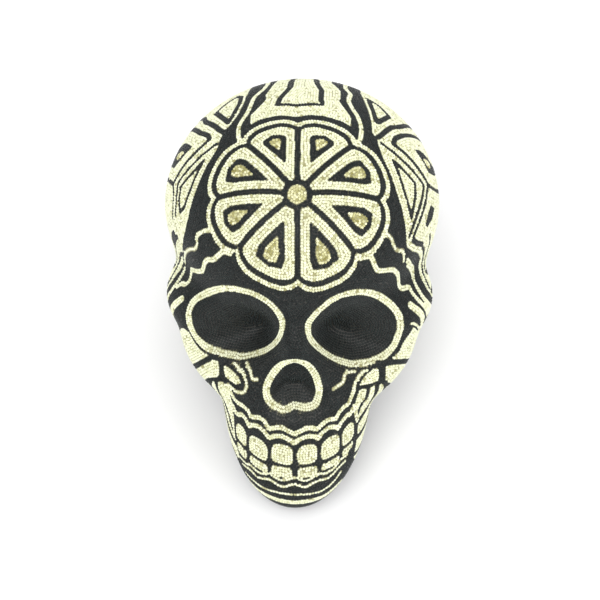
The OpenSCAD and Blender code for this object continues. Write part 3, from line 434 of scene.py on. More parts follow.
# Black lines on the fields: width and path
INKS = {
    1: [(TWO, [(22.2, 33.4), (21.3, 38), (20.4, 43), (19.7, 47.8), (23, 46.3), (26.7, 42),
               (24.6, 37.6), (22.2, 33.4)]),
        (TWO, [(22.6, 26.4), (24.3, 29.4), (25.8, 32.6), (27.6, 36), (29.8, 38.4), (32.2, 42.6),
               (36, 50), (40, 57), (41, 61)]),
        (TWO, [(48, 57.4), (44, 51.6), (38.4, 44.2), (35, 39.8), (31.4, 35), (28.6, 30.6),
               (27.9, 27.3), (33.2, 27), (38.5, 26.2), (45.2, 25)]),
        (THIN, [(45.2, 24.6), (49.3, 27.7), (52.2, 30.6), (54.8, 34.2), (56.6, 38), (60, 50)]),
        (THIN, [(45.2, 24.6), (45.5, 18), (45, 11), (44, 2.2)]),
        (THIN, [(23.6, 24.6), (29.6, 23.5), (35, 22.8), (42.8, 22), (43, 16), (42.4, 11),
                (41.4, 1)]),
        (THIN, [(28.3, 20.3), (38.4, 18.6), (39.3, 14), (39.5, 6.6), (34, 12.4), (28.3, 20.3)]),
        (TWO, [(44.4, 1.6), (49, 3.5), (54.6, 7.6)])],
    -1: [(TWO, [(21.4, 31), (20, 36), (18.8, 41), (18.9, 46), (20.6, 48.6), (24.4, 45.6),
                (27.3, 42.3), (24.4, 36.6), (21.4, 31)]),
         (TWO, [(22.6, 27), (24.3, 29.3), (26.2, 32.8), (29, 37.2), (31.2, 41), (32.4, 45.6),
                (36, 52), (39.6, 58), (41, 61)]),
         (TWO, [(46.5, 58.4), (41, 52), (37.5, 45.4), (35, 40), (32.1, 34.6), (28.6, 30),
                (27.8, 27.4), (33.2, 26), (38.5, 25.1), (46, 23.4)]),
         (THIN, [(46.2, 23.4), (49.3, 28.2), (51.8, 32.9), (54, 37), (58, 47), (60, 49.6)]),
         (THIN, [(46.2, 23.4), (46.4, 19), (48, 15.4), (50.5, 12.6)]),
         (THIN, [(25, 23.4), (29.6, 22.5), (35, 21.4), (42.6, 20.4), (45, 15), (47.5, 10.8)]),
         (THIN, [(29.6, 19.6), (34.3, 18.1), (41, 17.6), (42.8, 14), (43.6, 9.4), (40.5, 9),
                 (36.4, 12.2), (29.6, 19.6)]),
         (THREE, [(54.6, 9.6), (59.6, 13.2), (65.6, 16.6)])],
}
# Black wedges on the fields, and the gold tips in them
BARS = {
    1: [(36.8, 33.2), (39.6, 36.8), (43.6, 38.7), (47.5, 40), (50.5, 45), (54, 50), (55, 47),
        (51.8, 41), (50, 36.5), (47.1, 32.9), (45, 30.6), (41.4, 32.2)],
    -1: [(35.2, 30.3), (40, 38.6), (44.3, 43), (48, 48), (51, 46), (50.4, 39), (45.7, 30.8),
         (40.5, 30)],
}
TIPS = {
    1: [(41.4, 33.9), (43.2, 36.6), (46, 37.6), (46.6, 35.4), (44.6, 33)],
    -1: [(39.4, 31.9), (41, 35), (44, 37.4), (45.4, 36), (43.4, 32.4)],
}
# Black patch on the right field
PATCH = [(49.3, 19.6), (52.8, 22.2), (53.5, 17.9), (51.8, 12.2), (49.3, 11.1), (48.9, 14.7)]
for side, name in SIDES:
    area(f"side_{name}", CREAM, crown, flip(FIELDS[side], side))
    for width, path in INKS[side]:
        line(f"side_lines_{name}", BLACK, crown, flip(path, side), width, curve=straight)
    area(f"side_lines_{name}", BLACK, crown, flip(BARS[side], side))
    for front, path in zip(NESTED_FRONTS[side], NESTED):
        line(f"side_lines_{name}", BLACK, crown, flip(front + path, side), THIN)
    line(f"side_{name}", CREAM, crown, flip(TRIM_FRONTS[side] + TRIM, side), TWO)
    area(f"side_{name}", GOLD, crown, flip(TIPS[side], side))
    line(f"crown_wave_{name}", CREAM, crown, flip(WAVES[side], side), WAVE)
area("side_lines_right", BLACK, crown, PATCH)

# ---- Brow lines and temples ----

# Stepped lines from the flower to the temples: the low one and the high one
BROWS = {
    1: ([(29.5, 40.4), (34, 40.2), (35.6, 39), (37, 36.8), (39, 35), (43, 34.2), (48, 33.3),
         (52, 31.5), (55, 29.3), (57, 26.5), (59, 23.2), (61.5, 21.8), (65, 21), (67, 20)],
        [(43, 45), (45.6, 44.6), (47.6, 43.3), (48.7, 41), (50.5, 39.2), (53.6, 38.2), (55.6, 37.4),
         (56.6, 35.6), (57.4, 33.8)]),
    -1: ([(30.5, 40.6), (34, 40.6), (37.6, 38.5), (40, 37), (44, 36), (46.5, 34.3), (48.5, 31.8),
          (51, 30.3), (56, 28.8), (61, 27.6), (64.6, 26.4), (66, 23.6), (65.6, 20.6), (67.2, 18.4),
          (69.8, 17.6), (71.4, 15)],
         [(43.6, 45), (47, 44.3), (50, 43), (52.6, 41.3), (52, 39), (54, 37), (58, 35.8),
          (63, 33.8), (68.6, 31), (73, 28.4), (75.6, 25.4)]),
}
# Cream stripes on the temples: width and path
TEMPLES = {
    1: [(TWO, [(66.4, 20), (66, 17), (67, 13.4), (69.5, 9.4), (74, 3)]),
        (THREE, [(60.3, 14.3), (63, 10.9), (66.7, 6.3), (70, 0), (73, -3)]),
        (TWO, [(63, 31), (69.4, 27.8), (74, 24), (73.4, 20.6), (71.6, 16.4), (71.2, 12.4),
               (73.6, 7), (78, 2.6)]),
        (ONE, [(58.4, 6.2), (60.2, 5.6), (64, 2.6), (69, -1.6), (74, -6)])],
    -1: [(THREE, [(62.6, 13.4), (65.4, 10), (69, 5.6), (73, 0.4)])],
}
# Wavy lines round the back, below the side fields
WAVY = [[(72, -9), (80, -13), (88, -10), (96, -15), (104, -12), (112, -17), (120, -13), (128, -18),
         (136, -15), (144, -20), (152, -16), (160, -21), (170, -18), (180, -21)],
        [(84, -21), (88, -19), (96, -24), (104, -21), (112, -26), (120, -22), (128, -27),
         (136, -24), (144, -29), (152, -25), (160, -30), (170, -27), (180, -30)]]
for side, name in SIDES:
    low, high = BROWS[side]
    line(f"brow_{name}", CREAM, face, flip(low, side), TWO)
    line(f"brow_{name}", CREAM, face, flip(high, side), HIGH_BROW)
for side, name in SIDES:
    for path in WAVY:
        line(f"temple_{name}", CREAM, face, flip(path, side), TWO)
    for width, path in TEMPLES[side]:
        line(f"temple_{name}", CREAM, face, flip(path, side), width)

# ---- Cheekbones, eye rings and nose ring ----

# Middle lines of the eye rings
EYES = {
    1: [(6.2, 17.3), (8.3, 21), (11.8, 24.6), (16, 27.7), (21, 29.2), (27.5, 29.4), (34.5, 28),
        (41, 25.5), (46, 22.4), (49.5, 18.8), (52, 13.5), (53.2, 8), (53.8, 2), (53.3, -3),
        (50, -6.2), (44.5, -8.3), (36.5, -9.3), (29.5, -8.8), (22.5, -6.2), (17, -2.4), (12.5, 2.2),
        (9.2, 7.1), (6.8, 12)],
    -1: [(6.4, 18.8), (8.3, 23), (12.3, 26.8), (18, 29), (24, 29.5), (31, 29), (38.5, 27),
         (45, 24.2), (50.5, 20.8), (54, 17), (55.4, 12), (55.6, 6), (55.8, 1), (54.8, -2.8),
         (50, -6), (42.5, -7.5), (35, -8), (29, -7.5), (22, -4.7), (16.5, -1.2), (12.2, 3.5),
         (9, 8.5), (7, 13.2)],
}
# Patches on the cheekbones, and the curls beside them: width and path
CHEEKS = {
    1: ([[(51, -8.9), (55.5, -7.6), (57.8, -3.6), (60, 1), (60.4, 4), (65, 0.2), (70, -3.8),
          (78, -9), (74, -20), (68, -19), (60, -13), (54, -11), (51, -10)],
         [(46.3, -10.9), (50, -11.2), (56, -13.4), (62, -16.8), (70, -21), (66, -30), (56, -27),
          (49, -24), (46.4, -18)],
         [(31.6, -17.4), (33.2, -15), (36, -13), (39.4, -11.9), (42.4, -11.7), (42.6, -14),
          (42, -18.3), (38, -18.5)]],
        [(TIDY, [(34, -9.9), (30, -11), (25.4, -10.9), (23.9, -12), (23, -13.4), (20.5, -13.9),
                 (17.6, -14.2)]),
         (TIDY, [(38, -10.9), (35, -11.7), (31.6, -13.5), (29.4, -15.9), (28.6, -18.2)])]),
    -1: ([[(47, -9.6), (51, -5.4), (56, -2.2), (61, -0.6), (66, -3), (72, -8), (78, -16), (70, -24),
           (62, -21), (56, -16.6), (51, -13)],
          [(39.4, -12.4), (41, -10.3), (44.6, -10.4), (47.4, -13), (52, -16.6), (58, -21.4),
           (62, -26), (54, -26), (47, -20.6), (41, -18.4), (38.8, -16)],
          [(26.2, -16.2), (28, -14.2), (31.4, -12.6), (35, -11.6), (38, -11.2), (37.5, -13),
           (35.5, -15.6), (33, -16.8), (29, -17.8)]],
         [(TIDY, [(17.6, -11.4), (20.2, -12.1), (22, -10.5), (24.4, -9.3), (27, -8.6)]),
          (TIDY, [(33, -9.8), (29.4, -10.9), (25.4, -12.6), (23, -15.6), (24.2, -19), (28, -20.8),
                  (31.4, -20.2), (34, -19.2)])]),
}
# Middle line of the nose ring
NOSE = [(0, 1), (3.5, -0.8), (6.5, -3.5), (9, -6.7), (10.4, -10.3), (10.6, -14), (10.2, -17.8),
        (8.8, -20.4), (5, -21.3), (0, -20.6), (-4.5, -21.8), (-8.7, -21), (-11.2, -18.5),
        (-12.3, -15), (-12.2, -11.5), (-10.6, -8), (-8, -4.6), (-4, -1.3)]
for side, name in SIDES:
    fields, curls = CHEEKS[side]
    for path in fields:
        area(f"cheek_{name}", CREAM, face, flip(path, side))
    for width, path in curls:
        line(f"cheek_{name}", CREAM, face, flip(path, side), width)
    line("black_ground", BLACK, face, flip(EYES[side], side), EYE_GROUND, True)
    line(f"eye_ring_{name}", CREAM, face, flip(EYES[side], side), EYE_RING, True)
line("nose_ring", CREAM, face, NOSE, NOSE_RING, True)

# ---- Jaw sides ----

# Cream field, and the black lines on it: width and path
JAWS = {
    1: ([(29.6, -25), (31.4, -19.6), (37, -19.2), (45, -18.8), (52, -22), (58, -26), (62, -31),
         (61, -38), (56, -45), (48, -51), (40, -53.5), (34, -51), (30, -46), (31.6, -38.4),
         (32.4, -33)],
        [(TWO, [(43.4, -9.6), (43.9, -16), (43.6, -19)]),
         (TWO, [(44, -10.2), (52, -11.6), (58, -13.8), (64, -16.6), (72, -20)]),
         (THIN, [(30.6, -18.2), (38, -18.9), (44, -18.8), (49, -22.6), (56, -27.6), (63, -31)]),
         (THIN, [(36.8, -18.8), (36.6, -25.5), (34, -28), (32, -30.8)]),
         (TWO, [(41.6, -18.8), (43, -27), (41, -33), (36, -34), (31.6, -34.4)]),
         (TWO, [(47.6, -21), (50.4, -28), (49.6, -35.4), (44.4, -40.4), (36, -40.4), (29.8, -39)]),
         (TWO, [(56, -27.6), (57.4, -35), (53, -43), (45, -47), (36, -47), (30, -45)])]),
    -1: ([(33, -24), (35, -20.4), (39, -19), (45, -19), (52, -22), (58, -26), (62, -31), (61, -38),
          (56, -45), (48, -51), (40, -53.5), (32, -50), (27, -45), (30, -39), (31, -33)],
         [(TWO, [(39, -9.6), (37.6, -14), (35.4, -18)]),
          (TWO, [(45, -10), (50, -13.6), (55, -17.6), (62, -23)]),
          (THIN, [(35.4, -18), (40, -18.6), (46.6, -21.8), (53, -27), (60, -29)]),
          (THIN, [(40.6, -18.8), (42, -25.7), (41, -31.6), (37, -35), (32.6, -38)]),
          (TWO, [(45.6, -21.2), (47.8, -27), (46, -34.4), (41, -38.8), (35, -41), (30, -41.6)]),
          (TWO, [(52.4, -26.6), (54, -32), (51.6, -38.6), (46, -44), (39, -47), (30.4, -47)])]),
}
for side, name in SIDES:
    field, inks = JAWS[side]
    area(f"jaw_{name}", CREAM, face, flip(field, side))
    for width, path in inks:
        line(f"jaw_lines_{name}", BLACK, face, flip(path, side), width)

# ---- Mouth ----

# Scalloped lines above the upper teeth
GUMS = [[(-37, -20), (-33, -22), (-30.4, -25), (-27.5, -25.6), (-24.5, -25.1), (-21.3, -25.4),
         (-19.8, -27), (-18, -26.3), (-15, -25), (-12.6, -25.4), (-10.6, -27.6), (-8, -26.4),
         (-5, -25.6), (-2.4, -26.4), (0.2, -27.4), (2.4, -26.6), (5, -25.7), (7.6, -26), (9.8, -27),
         (12, -25.6), (14.6, -25), (17, -25.7), (18.6, -26.3), (20, -24.5), (23, -23.5),
         (25.6, -23.6), (26.8, -21.6), (28.4, -19)],
        [(-31.6, -28.6), (-30, -30.6), (-27.6, -30.4), (-25, -28.9), (-22.6, -29.3), (-20.8, -31),
         (-18.6, -29.6), (-15.4, -28.6), (-12.6, -29.4), (-10.4, -31), (-8, -29.6), (-5, -28.8),
         (-2.4, -29.6), (0.2, -31), (2.4, -29.6), (5.6, -28.7), (8.6, -29.4), (10.4, -30.6),
         (12, -28.9), (14.6, -28.1), (17.4, -28.8), (19.8, -30.4), (21.6, -28.9), (24.4, -27.8),
         (27, -28.4), (28.6, -26), (30.4, -30), (31.4, -33.6)]]
# Each tooth: left, right, top and bottom in face degrees
UPPER = [(1.5, 9.9, -31.9, -38), (11.5, 20.4, -31.8, -38.3), (21.8, 29, -31.7, -37.7),
         (-9.3, -0.2, -31.9, -38.2), (-20.4, -11, -32.9, -38.9), (-28.9, -21.9, -33.2, -38.6)]
LOWER = [(1.6, 9.9, -39, -41.8), (11.5, 20.2, -39.3, -41.4), (21.8, 28.6, -38.8, -40.8),
         (-9.3, -0.5, -39.1, -41.9), (-20, -11, -39.8, -42.3), (-28, -21.6, -39.7, -42.8)]
# Roundness of a tooth's top and bottom, as powers of a superellipse
UPPER_ROUND = (2.5, 5)
LOWER_ROUND = (6, 3)
# Lines under the lower teeth: width and path
BANDS = [(ONE, [(-26, -44.4), (-22.6, -44), (-19.6, -43), (-17, -43.4), (-13, -43.1), (-10, -41.9),
                (-5, -42.9), (0.4, -41.7), (5, -42.8), (10.4, -41.8), (14, -42.5), (18, -42.2),
                (21, -41.2), (25, -41.4)]),
         (ONE, [(-25, -46), (-20, -44.9), (-16, -45.3), (-10.4, -43.9), (-5, -44.8), (0.4, -43.6),
                (5, -44.7), (10.4, -43.7), (15, -44.5), (20, -43.4), (24, -43)]),
         (ONE, [(-24, -48.6), (-20, -48.4), (-14, -48), (-8, -47.3), (0, -47), (6, -47.4),
                (12, -48), (17, -47.6), (22, -45.6)]),
         (THREE, [(-25, -53), (-18, -52), (-10, -50.8), (0, -50.4), (8, -50.8), (15, -51.7),
                  (23, -51.4)])]


def block(left, right, top, bottom, round_top, round_bottom, steps=36):
    """A rounded block: a superellipse with its own roundness above and below."""
    out = []
    for k in range(steps):
        a = 2 * math.pi * k / steps
        c, s = math.cos(a), math.sin(a)
        power = 2 / (round_top if s > 0 else round_bottom)
        x = (left + right) / 2 + (right - left) / 2 * math.copysign(abs(c) ** power, c)
        y = (top + bottom) / 2 + (top - bottom) / 2 * math.copysign(abs(s) ** power, s)
        out.append((x, y))
    return out


for path in GUMS:
    line("gum_lines", CREAM, face, path, GUM, curve=straight)
for box in UPPER:
    area("upper_teeth", CREAM, face, block(*box, *UPPER_ROUND))
for box in LOWER:
    area("lower_teeth", CREAM, face, block(*box, *LOWER_ROUND))
for width, path in BANDS:
    line("chin_bands", CREAM, face, path, width)

# ---- Back ----

MEDALLION_RINGS = (6, 14, 22)
for radius in MEDALLION_RINGS:
    line("medallion", CREAM, back, circle((0, 0), radius), THREE, True)

# ---- Edges between colours ----


def soften(f):
    """Values averaged with those of their neighbours on the grid."""
    for axis in (1, 2):
        f = (np.roll(f, 1, axis) + 2 * f + np.roll(f, -1, axis)) / 4
    return f


def crossings(axis):
    """Points between neighbouring grid points of two colours, where their shares are equal."""
    cut = [slice(None)] * 3
    near, far = list(cut), list(cut)
    near[axis], far[axis] = slice(1, -2), slice(2, -1)
    other = 3 - axis
    near[other] = far[other] = slice(1, -1)
    near, far = tuple(near), tuple(far)
    a, b = grid_labels[near], grid_labels[far]
    where = np.nonzero(a != b)
    la, lb = a[where], b[where]
    sa, sb = shares[(slice(None),) + near], shares[(slice(None),) + far]
    fa = sa[(la,) + where] - sa[(lb,) + where]
    fb = sb[(la,) + where] - sb[(lb,) + where]
    t = (fa / np.maximum(fa - fb, TINY))[:, None]
    return POINTS[near][where] * (1 - t) + POINTS[far][where] * t


painted = labels.reshape(SHAPE)
shares = np.stack([soften(soften((painted == k).astype(float))) for k in COLOURS])
grid_labels = shares.argmax(0)
bead_labels = grid_labels.reshape(-1)
edge_tree = tree_of(np.concatenate([crossings(1), crossings(2)]).tolist())
depth = np.array([edge_tree.find(p)[2] for p in flat_points.tolist()])

# ---- Narrow bands: how far the row pitch stretches so that whole rows fill the band ----

# Most rows in a band whose rows stretch to fill it, and the share of a row that may be missing
WIDEST = 3
ROUND_UP = 0.2
# Least and most size of the beads in it
GROWTH = (0.9, 1.15)
# Least share that an average is divided by
LEAST_SHARE = 0.05

ridge = depth.reshape(SHAPE)
for _ in range(EXTRA - 1):
    for axis in (1, 2):
        for shift in (1, -1):
            same = np.roll(grid_labels, shift, axis) == grid_labels
            ridge = np.maximum(ridge, np.where(same, np.roll(ridge, shift, axis), 0))
even = np.zeros(SHAPE)
for k in COLOURS:
    own = (grid_labels == k).astype(float)
    share = soften(soften(own))
    even += own * soften(soften(own * ridge)) / np.maximum(share, LEAST_SHARE)
ridge = even.reshape(-1)
row_counts = np.maximum(np.floor(2 * ridge / PITCH + ROUND_UP), 1)
stretch = np.where(row_counts <= WIDEST, 2 * ridge / (row_counts * PITCH), 1.0)
grow = np.clip(stretch, *GROWTH)
row_depth = depth / stretch
stretch, grow = stretch.tolist(), grow.tolist()

# ---- Rows of beads, each row one pitch further from its colour's edge ----

# Least distance between two beads of rows
CLEAR = 0.88 * PITCH
# How far from a row's middle its first points lie, and the last row from the deepest point
SEED_REACH = 0.2
LAST_ROW = 0.3
# A row ends where a step comes out shorter than this share of its length
SHORT_STEP = 0.6
MOST_STEPS = 4000
# Gaps at a row's end that are shared out among its beads, and the most that one bead takes
LEAST_GAP, MOST_GAP, MOST_SHARE = 0.03 * PITCH, 1.2 * PITCH, 0.2 * PITCH
# Fewest beads that share a gap, and fewest in a row that closes on itself
FEWEST_SHARING = 3
FEWEST_IN_LOOP = 6
# Single beads: least distance to others, how far others count, and size of the smallest
SINGLE_CLEAR = 0.8 * PITCH
SINGLE_REACH = 1.2 * PITCH
SMALLEST = 0.7

normal_list = [Vector(n) for n in NORMALS.reshape(-1, 3).tolist()]
beads, cells = [], {}


def cell(p):
    """The cell of space, one pitch wide, that holds p."""
    return int(p[0] // PITCH), int(p[1] // PITCH), int(p[2] // PITCH)


def blocker(p, limit):
    """The nearest bead within limit of p, or None."""
    cx, cy, cz = cell(p)
    best, found = limit * limit, None
    for i in (cx - 1, cx, cx + 1):
        for j in (cy - 1, cy, cy + 1):
            for k in (cz - 1, cz, cz + 1):
                for b in cells.get((i, j, k), ()):
                    gap = (beads[b][0] - p).length_squared
                    if gap < best:
                        best, found = gap, b
    return found


def add(p, index, scale):
    """Adds a bead at p, over that grid point."""
    cells.setdefault(cell(p), []).append(len(beads))
    beads.append((p, index, scale))


def drop(count):
    """Takes the last beads away until count are left."""
    while len(beads) > count:
        p = beads.pop()[0]
        cells[cell(p)].remove(len(beads))


def settle(q, iso, i):
    """q moved to the row's distance from the colour's edge, on the surface."""
    b = edge_tree.find(q)[0]
    q = b + (q - b).normalized() * (iso * stretch[i])
    g, i, _ = grid_tree.find(q)
    n = normal_list[i]
    return q - n * n.dot(q - g), i, b


def walk(p, i, heading, iso, label, step, most=MOST_STEPS, free=False):
    """Adds beads one after another along a row. Returns the bead that stopped it, or None."""
    for _ in range(most):
        pace = step * grow[i]
        aim = p + heading * pace
        for _ in range(2):
            aim, i, _ = settle(aim, iso, i)
            aim = p + (aim - p).normalized() * pace
        aim, i, _ = settle(aim, iso, i)
        if bead_labels[i] != label or (aim - p).length < SHORT_STEP * pace:
            return None
        if not free:
            stop = blocker(aim, CLEAR * min(1.0, grow[i]))
            if stop is not None:
                return stop
        heading = (aim - p).normalized()
        add(aim, i, grow[i])
        p = aim
    return None


def walk_evenly(p, i, heading, iso, label, first):
    """A walk whose last gap is shared out among its beads."""
    start = len(beads)
    stop = walk(p, i, heading, iso, label, PITCH)
    made = len(beads) - start
    if stop is None or made < FEWEST_SHARING:
        return stop
    gap = (beads[-1][0] - beads[stop][0]).length - PITCH * grow[beads[-1][1]]
    share = gap / (made + (1 if stop == first else 0))
    if LEAST_GAP < gap < MOST_GAP and share < MOST_SHARE:
        drop(start)
        walk(p, i, heading, iso, label, PITCH + share, made, True)
    return stop


def lay_row(seed, iso):
    """Lays the row that runs through a grid point, both ways unless it closes on itself."""
    label = bead_labels[seed]
    p, i, b = settle(Vector(flat_points[seed]), iso, seed)
    if bead_labels[i] != label or blocker(p, CLEAR * min(1.0, grow[i])) is not None:
        return
    first = len(beads)
    add(p, i, grow[i])
    heading = normal_list[i].cross(p - b).normalized()
    closed = walk_evenly(p, i, heading, iso, label, first) == first
    if not closed or len(beads) - first < FEWEST_IN_LOOP:
        walk_evenly(p, i, -heading, iso, label, first)


def fill_gaps():
    """Puts single, smaller beads where the rows leave room, the widest gaps first."""
    bead_tree = tree_of([b[0] for b in beads])
    room = np.array([bead_tree.find(p)[2] for p in flat_points.tolist()])
    for i in np.argsort(-room).tolist():
        if room[i] < SINGLE_CLEAR:
            break
        p = Vector(flat_points[i])
        if blocker(p, SINGLE_CLEAR) is None:
            near = blocker(p, SINGLE_REACH)
            gap = PITCH if near is None else (beads[near][0] - p).length
            add(p, i, min(1.0, max(SMALLEST, 2 * gap / PITCH - 1)))


for iso in np.arange(PITCH / 2, row_depth.max() + LAST_ROW, PITCH).tolist():
    for seed in np.nonzero(np.abs(row_depth - iso) < SEED_REACH)[0].tolist():
        lay_row(seed, iso)
fill_gaps()

# ---- Every bead's place, size, colour and zone ----

# Spread of the beads' tilt, the range of their sizes, and grid points searched for a zone
TILT = 0.07
SIZES = (0.95, 1.02)
SEARCHED = 24

where = np.array([b[0] for b in beads])
index = np.array([b[1] for b in beads])
size = np.array([b[2] for b in beads])
count = len(beads)
normal = unit(NORMALS.reshape(-1, 3)[index] + rng.normal(0, TILT, (count, 3)))
side = unit(np.cross(normal, rng.normal(0, 1, (count, 3))))
other = np.cross(normal, side)
size *= rng.uniform(*SIZES, count)
tone = rng.uniform(0, 1, count)
bead_label = bead_labels[index]

# A bead's zone is that of the nearest grid point that was painted in its colour
zone_of = zones[index].copy()
for k in np.nonzero(labels[index] != bead_label)[0].tolist():
    for _, i, _ in grid_tree.find_n(where[k], SEARCHED):
        if labels[i] == bead_label[k]:
            zone_of[k] = zones[i]
            break

# ---- Bead meshes ----

# A bead seen from above: a ring with a hole. Radius and height down its profile
CORNERS = 8
PROFILE = [(0.2, -0.6), (0.2, -0.16), (0.42, 0.0), (0.7, -0.14), (0.76, -0.62)]
# Share of its square that a bead takes in the UV layer
UV_SHARE = 0.86

turn = [k * 2 * math.pi / CORNERS for k in range(CORNERS)]
ring = np.array([(r * math.cos(a), r * math.sin(a), z) for r, z in PROFILE for a in turn])


def ring_face(r, k):
    """One face of the bead: corner k between profile rows r and r + 1."""
    a, b = r * CORNERS + k, r * CORNERS + (k + 1) % CORNERS
    return [a, a + CORNERS, b + CORNERS, b]


ring_faces = np.array([ring_face(r, k) for r in range(len(PROFILE) - 1) for k in range(CORNERS)])


def link(name, data):
    """A new object in the scene."""
    obj = bpy.data.objects.new(name, data)
    bpy.context.scene.collection.objects.link(obj)
    return obj


def bead_uv(n):
    """Places of n beads in the UV layer: a square for each."""
    grid = math.ceil(math.sqrt(n))
    at = np.stack([np.arange(n) % grid, np.arange(n) // grid], -1)
    local = ring[:, :2] / (2 * PROFILE[-1][0]) * UV_SHARE + 0.5
    return ((at[:, None] + local[None]) / grid).reshape(-1, 2)


def bead_mesh(name, chosen):
    """One mesh of the chosen beads, each with its own tilt, size and tone."""
    n = len(chosen)
    turned = (
        ring[None, :, :1] * side[chosen, None]
        + ring[None, :, 1:2] * other[chosen, None]
        + ring[None, :, 2:] * normal[chosen, None]
    )
    v = (where[chosen, None] + size[chosen, None, None] * turned) * MM
    v[..., 2] = np.maximum(v[..., 2], 0.0)
    loops = (ring_faces[None] + (np.arange(n) * len(ring))[:, None, None]).ravel()
    mesh = bpy.data.meshes.new(name)
    mesh.vertices.add(n * len(ring))
    mesh.vertices.foreach_set("co", v.ravel())
    mesh.loops.add(len(loops))
    mesh.loops.foreach_set("vertex_index", loops)
    mesh.polygons.add(len(loops) // 4)
    mesh.polygons.foreach_set("loop_start", np.arange(0, len(loops), 4))
    mesh.polygons.foreach_set("use_smooth", np.ones(len(loops) // 4, bool))
    mesh.update(calc_edges=True)
    layer = mesh.uv_layers.new(name="OFBake")
    layer.data.foreach_set("uv", bead_uv(n)[loops].ravel())
    shade = mesh.attributes.new("tone", "FLOAT", "POINT")
    shade.data.foreach_set("value", np.repeat(tone[chosen], len(ring)))
    return link(name, mesh)


# ---- Materials ----


def shader(name, **inputs):
    """A new material: itself, its node tree and its shader with those inputs set."""
    m = bpy.data.materials.new(name)
    m.use_nodes = True
    b = m.node_tree.nodes["Principled BSDF"]
    for key, value in inputs.items():
        b.inputs[key.replace("_", " ")].default_value = value
    return m, m.node_tree, b


def ramp(tree, source, stops):
    """Colour output of a ramp that a socket drives."""
    node = tree.nodes.new("ShaderNodeValToRGB")
    while len(node.color_ramp.elements) < len(stops):
        node.color_ramp.elements.new(1.0)
    for e, (at, colour) in zip(node.color_ramp.elements, stops):
        e.position = at
        e.color = (*colour, 1)
    tree.links.new(source, node.inputs["Fac"])
    return node.outputs["Color"]


def attribute(tree, name):
    """Output of a node that reads an attribute of the mesh."""
    node = tree.nodes.new("ShaderNodeAttribute")
    node.attribute_name = name
    return node.outputs["Fac"]


def noise(tree, scale, detail):
    """Output of a noise texture."""
    node = tree.nodes.new("ShaderNodeTexNoise")
    node.inputs["Scale"].default_value = scale
    node.inputs["Detail"].default_value = detail
    return node.outputs["Fac"]


def glass(name, stops, **inputs):
    """Seed bead glass: every bead has a tone of its own."""
    m, tree, b = shader(name, **inputs)
    tree.links.new(ramp(tree, attribute(tree, "tone"), stops), b.inputs["Base Color"])
    return m


def wax_material():
    """Mottled yellow-brown wax; under the black beads it takes near-black tones, painted shade for
    the dark gaps there.
    """
    m, tree, b = shader("wax", Roughness=0.55)
    mottle = noise(tree, scale=90.0, detail=6.0)
    mix = tree.nodes.new("ShaderNodeMix")
    mix.data_type = "RGBA"
    tree.links.new(attribute(tree, "unshaded_wax"), mix.inputs["Factor"])
    tree.links.new(ramp(tree, mottle, WAX_PAINTED_SHADE), mix.inputs["A"])
    tree.links.new(ramp(tree, mottle, WAX_PALE), mix.inputs["B"])
    tree.links.new(mix.outputs["Result"], b.inputs["Base Color"])
    return m


def cast_material():
    """Cast resin, slightly mottled."""
    m, tree, b = shader("cast", Roughness=0.7)
    mottle = noise(tree, scale=120.0, detail=2.0)
    tree.links.new(ramp(tree, mottle, CAST_TONES), b.inputs["Base Color"])
    return m


CREAM_TONES = [
    (0.0, (0.34, 0.32, 0.13)),
    (0.05, (0.62, 0.62, 0.36)),
    (0.25, (0.80, 0.82, 0.57)),
    (1.0, (0.92, 0.94, 0.72)),
]
BLACK_TONES = [(0.0, (0.005, 0.008, 0.008)), (1.0, (0.014, 0.020, 0.019))]
GOLD_TONES = [(0.0, (0.34, 0.31, 0.10)), (0.35, (0.62, 0.60, 0.30)), (1.0, (0.96, 0.95, 0.66))]
# Painted shade: near-black wax tones for the shaded gaps between the black beads
WAX_PAINTED_SHADE = [(0.3, (0.010, 0.010, 0.008)), (0.7, (0.020, 0.019, 0.014))]
WAX_PALE = [(0.3, (0.26, 0.24, 0.12)), (0.7, (0.42, 0.40, 0.22))]
CAST_TONES = [(0.3, (0.66, 0.62, 0.52)), (0.7, (0.76, 0.72, 0.63))]

CREAM_GLASS = glass("cream_beads", CREAM_TONES, Roughness=0.28, Coat_Weight=0.3, Coat_Roughness=0.1)
BLACK_GLASS = glass("black_beads", BLACK_TONES, Roughness=0.24, Specular_IOR_Level=0.28)
GOLD_GLASS = glass("gold_beads", GOLD_TONES, Roughness=0.22, Metallic=0.55)
# Glass and slot of each colour
FINISH = {
    BLACK: (BLACK_GLASS, "black_beads"),
    CREAM: (CREAM_GLASS, "cream_beads"),
    GOLD: (GOLD_GLASS, "gold_beads"),
}

# ---- Beads of every node, in pieces that stay under the export's limit of triangles ----

MOST_BEADS = 3100
FEWEST_BEADS = 3


def dress(obj, material, node):
    """Gives a piece its material, hides the CAD node it replaces and hangs it on the root body."""
    obj.data.materials.append(material)
    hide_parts(node)
    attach(obj, "root")


def split(chosen):
    """Halves a group of beads across its longest side until each part is small enough."""
    if len(chosen) <= MOST_BEADS:
        return [chosen]
    p = where[chosen]
    axis = np.ptp(p, axis=0).argmax()
    order = chosen[np.argsort(p[:, axis], kind="stable")]
    half = len(order) // 2
    return split(order[:half]) + split(order[half:])


for z, node in enumerate(NODES):
    for label, (material, slot) in FINISH.items():
        chosen = np.nonzero((zone_of == z) & (bead_label == label))[0]
        if len(chosen) < FEWEST_BEADS:
            continue
        parts = split(chosen)
        for k, part in enumerate(parts):
            name = f"beads_{node}" if len(parts) == 1 else f"beads_{node}_{k + 1}"
            dress(bead_mesh(name, part), material, node)

# ---- Wax coat under the beads, and the casting under the wax ----


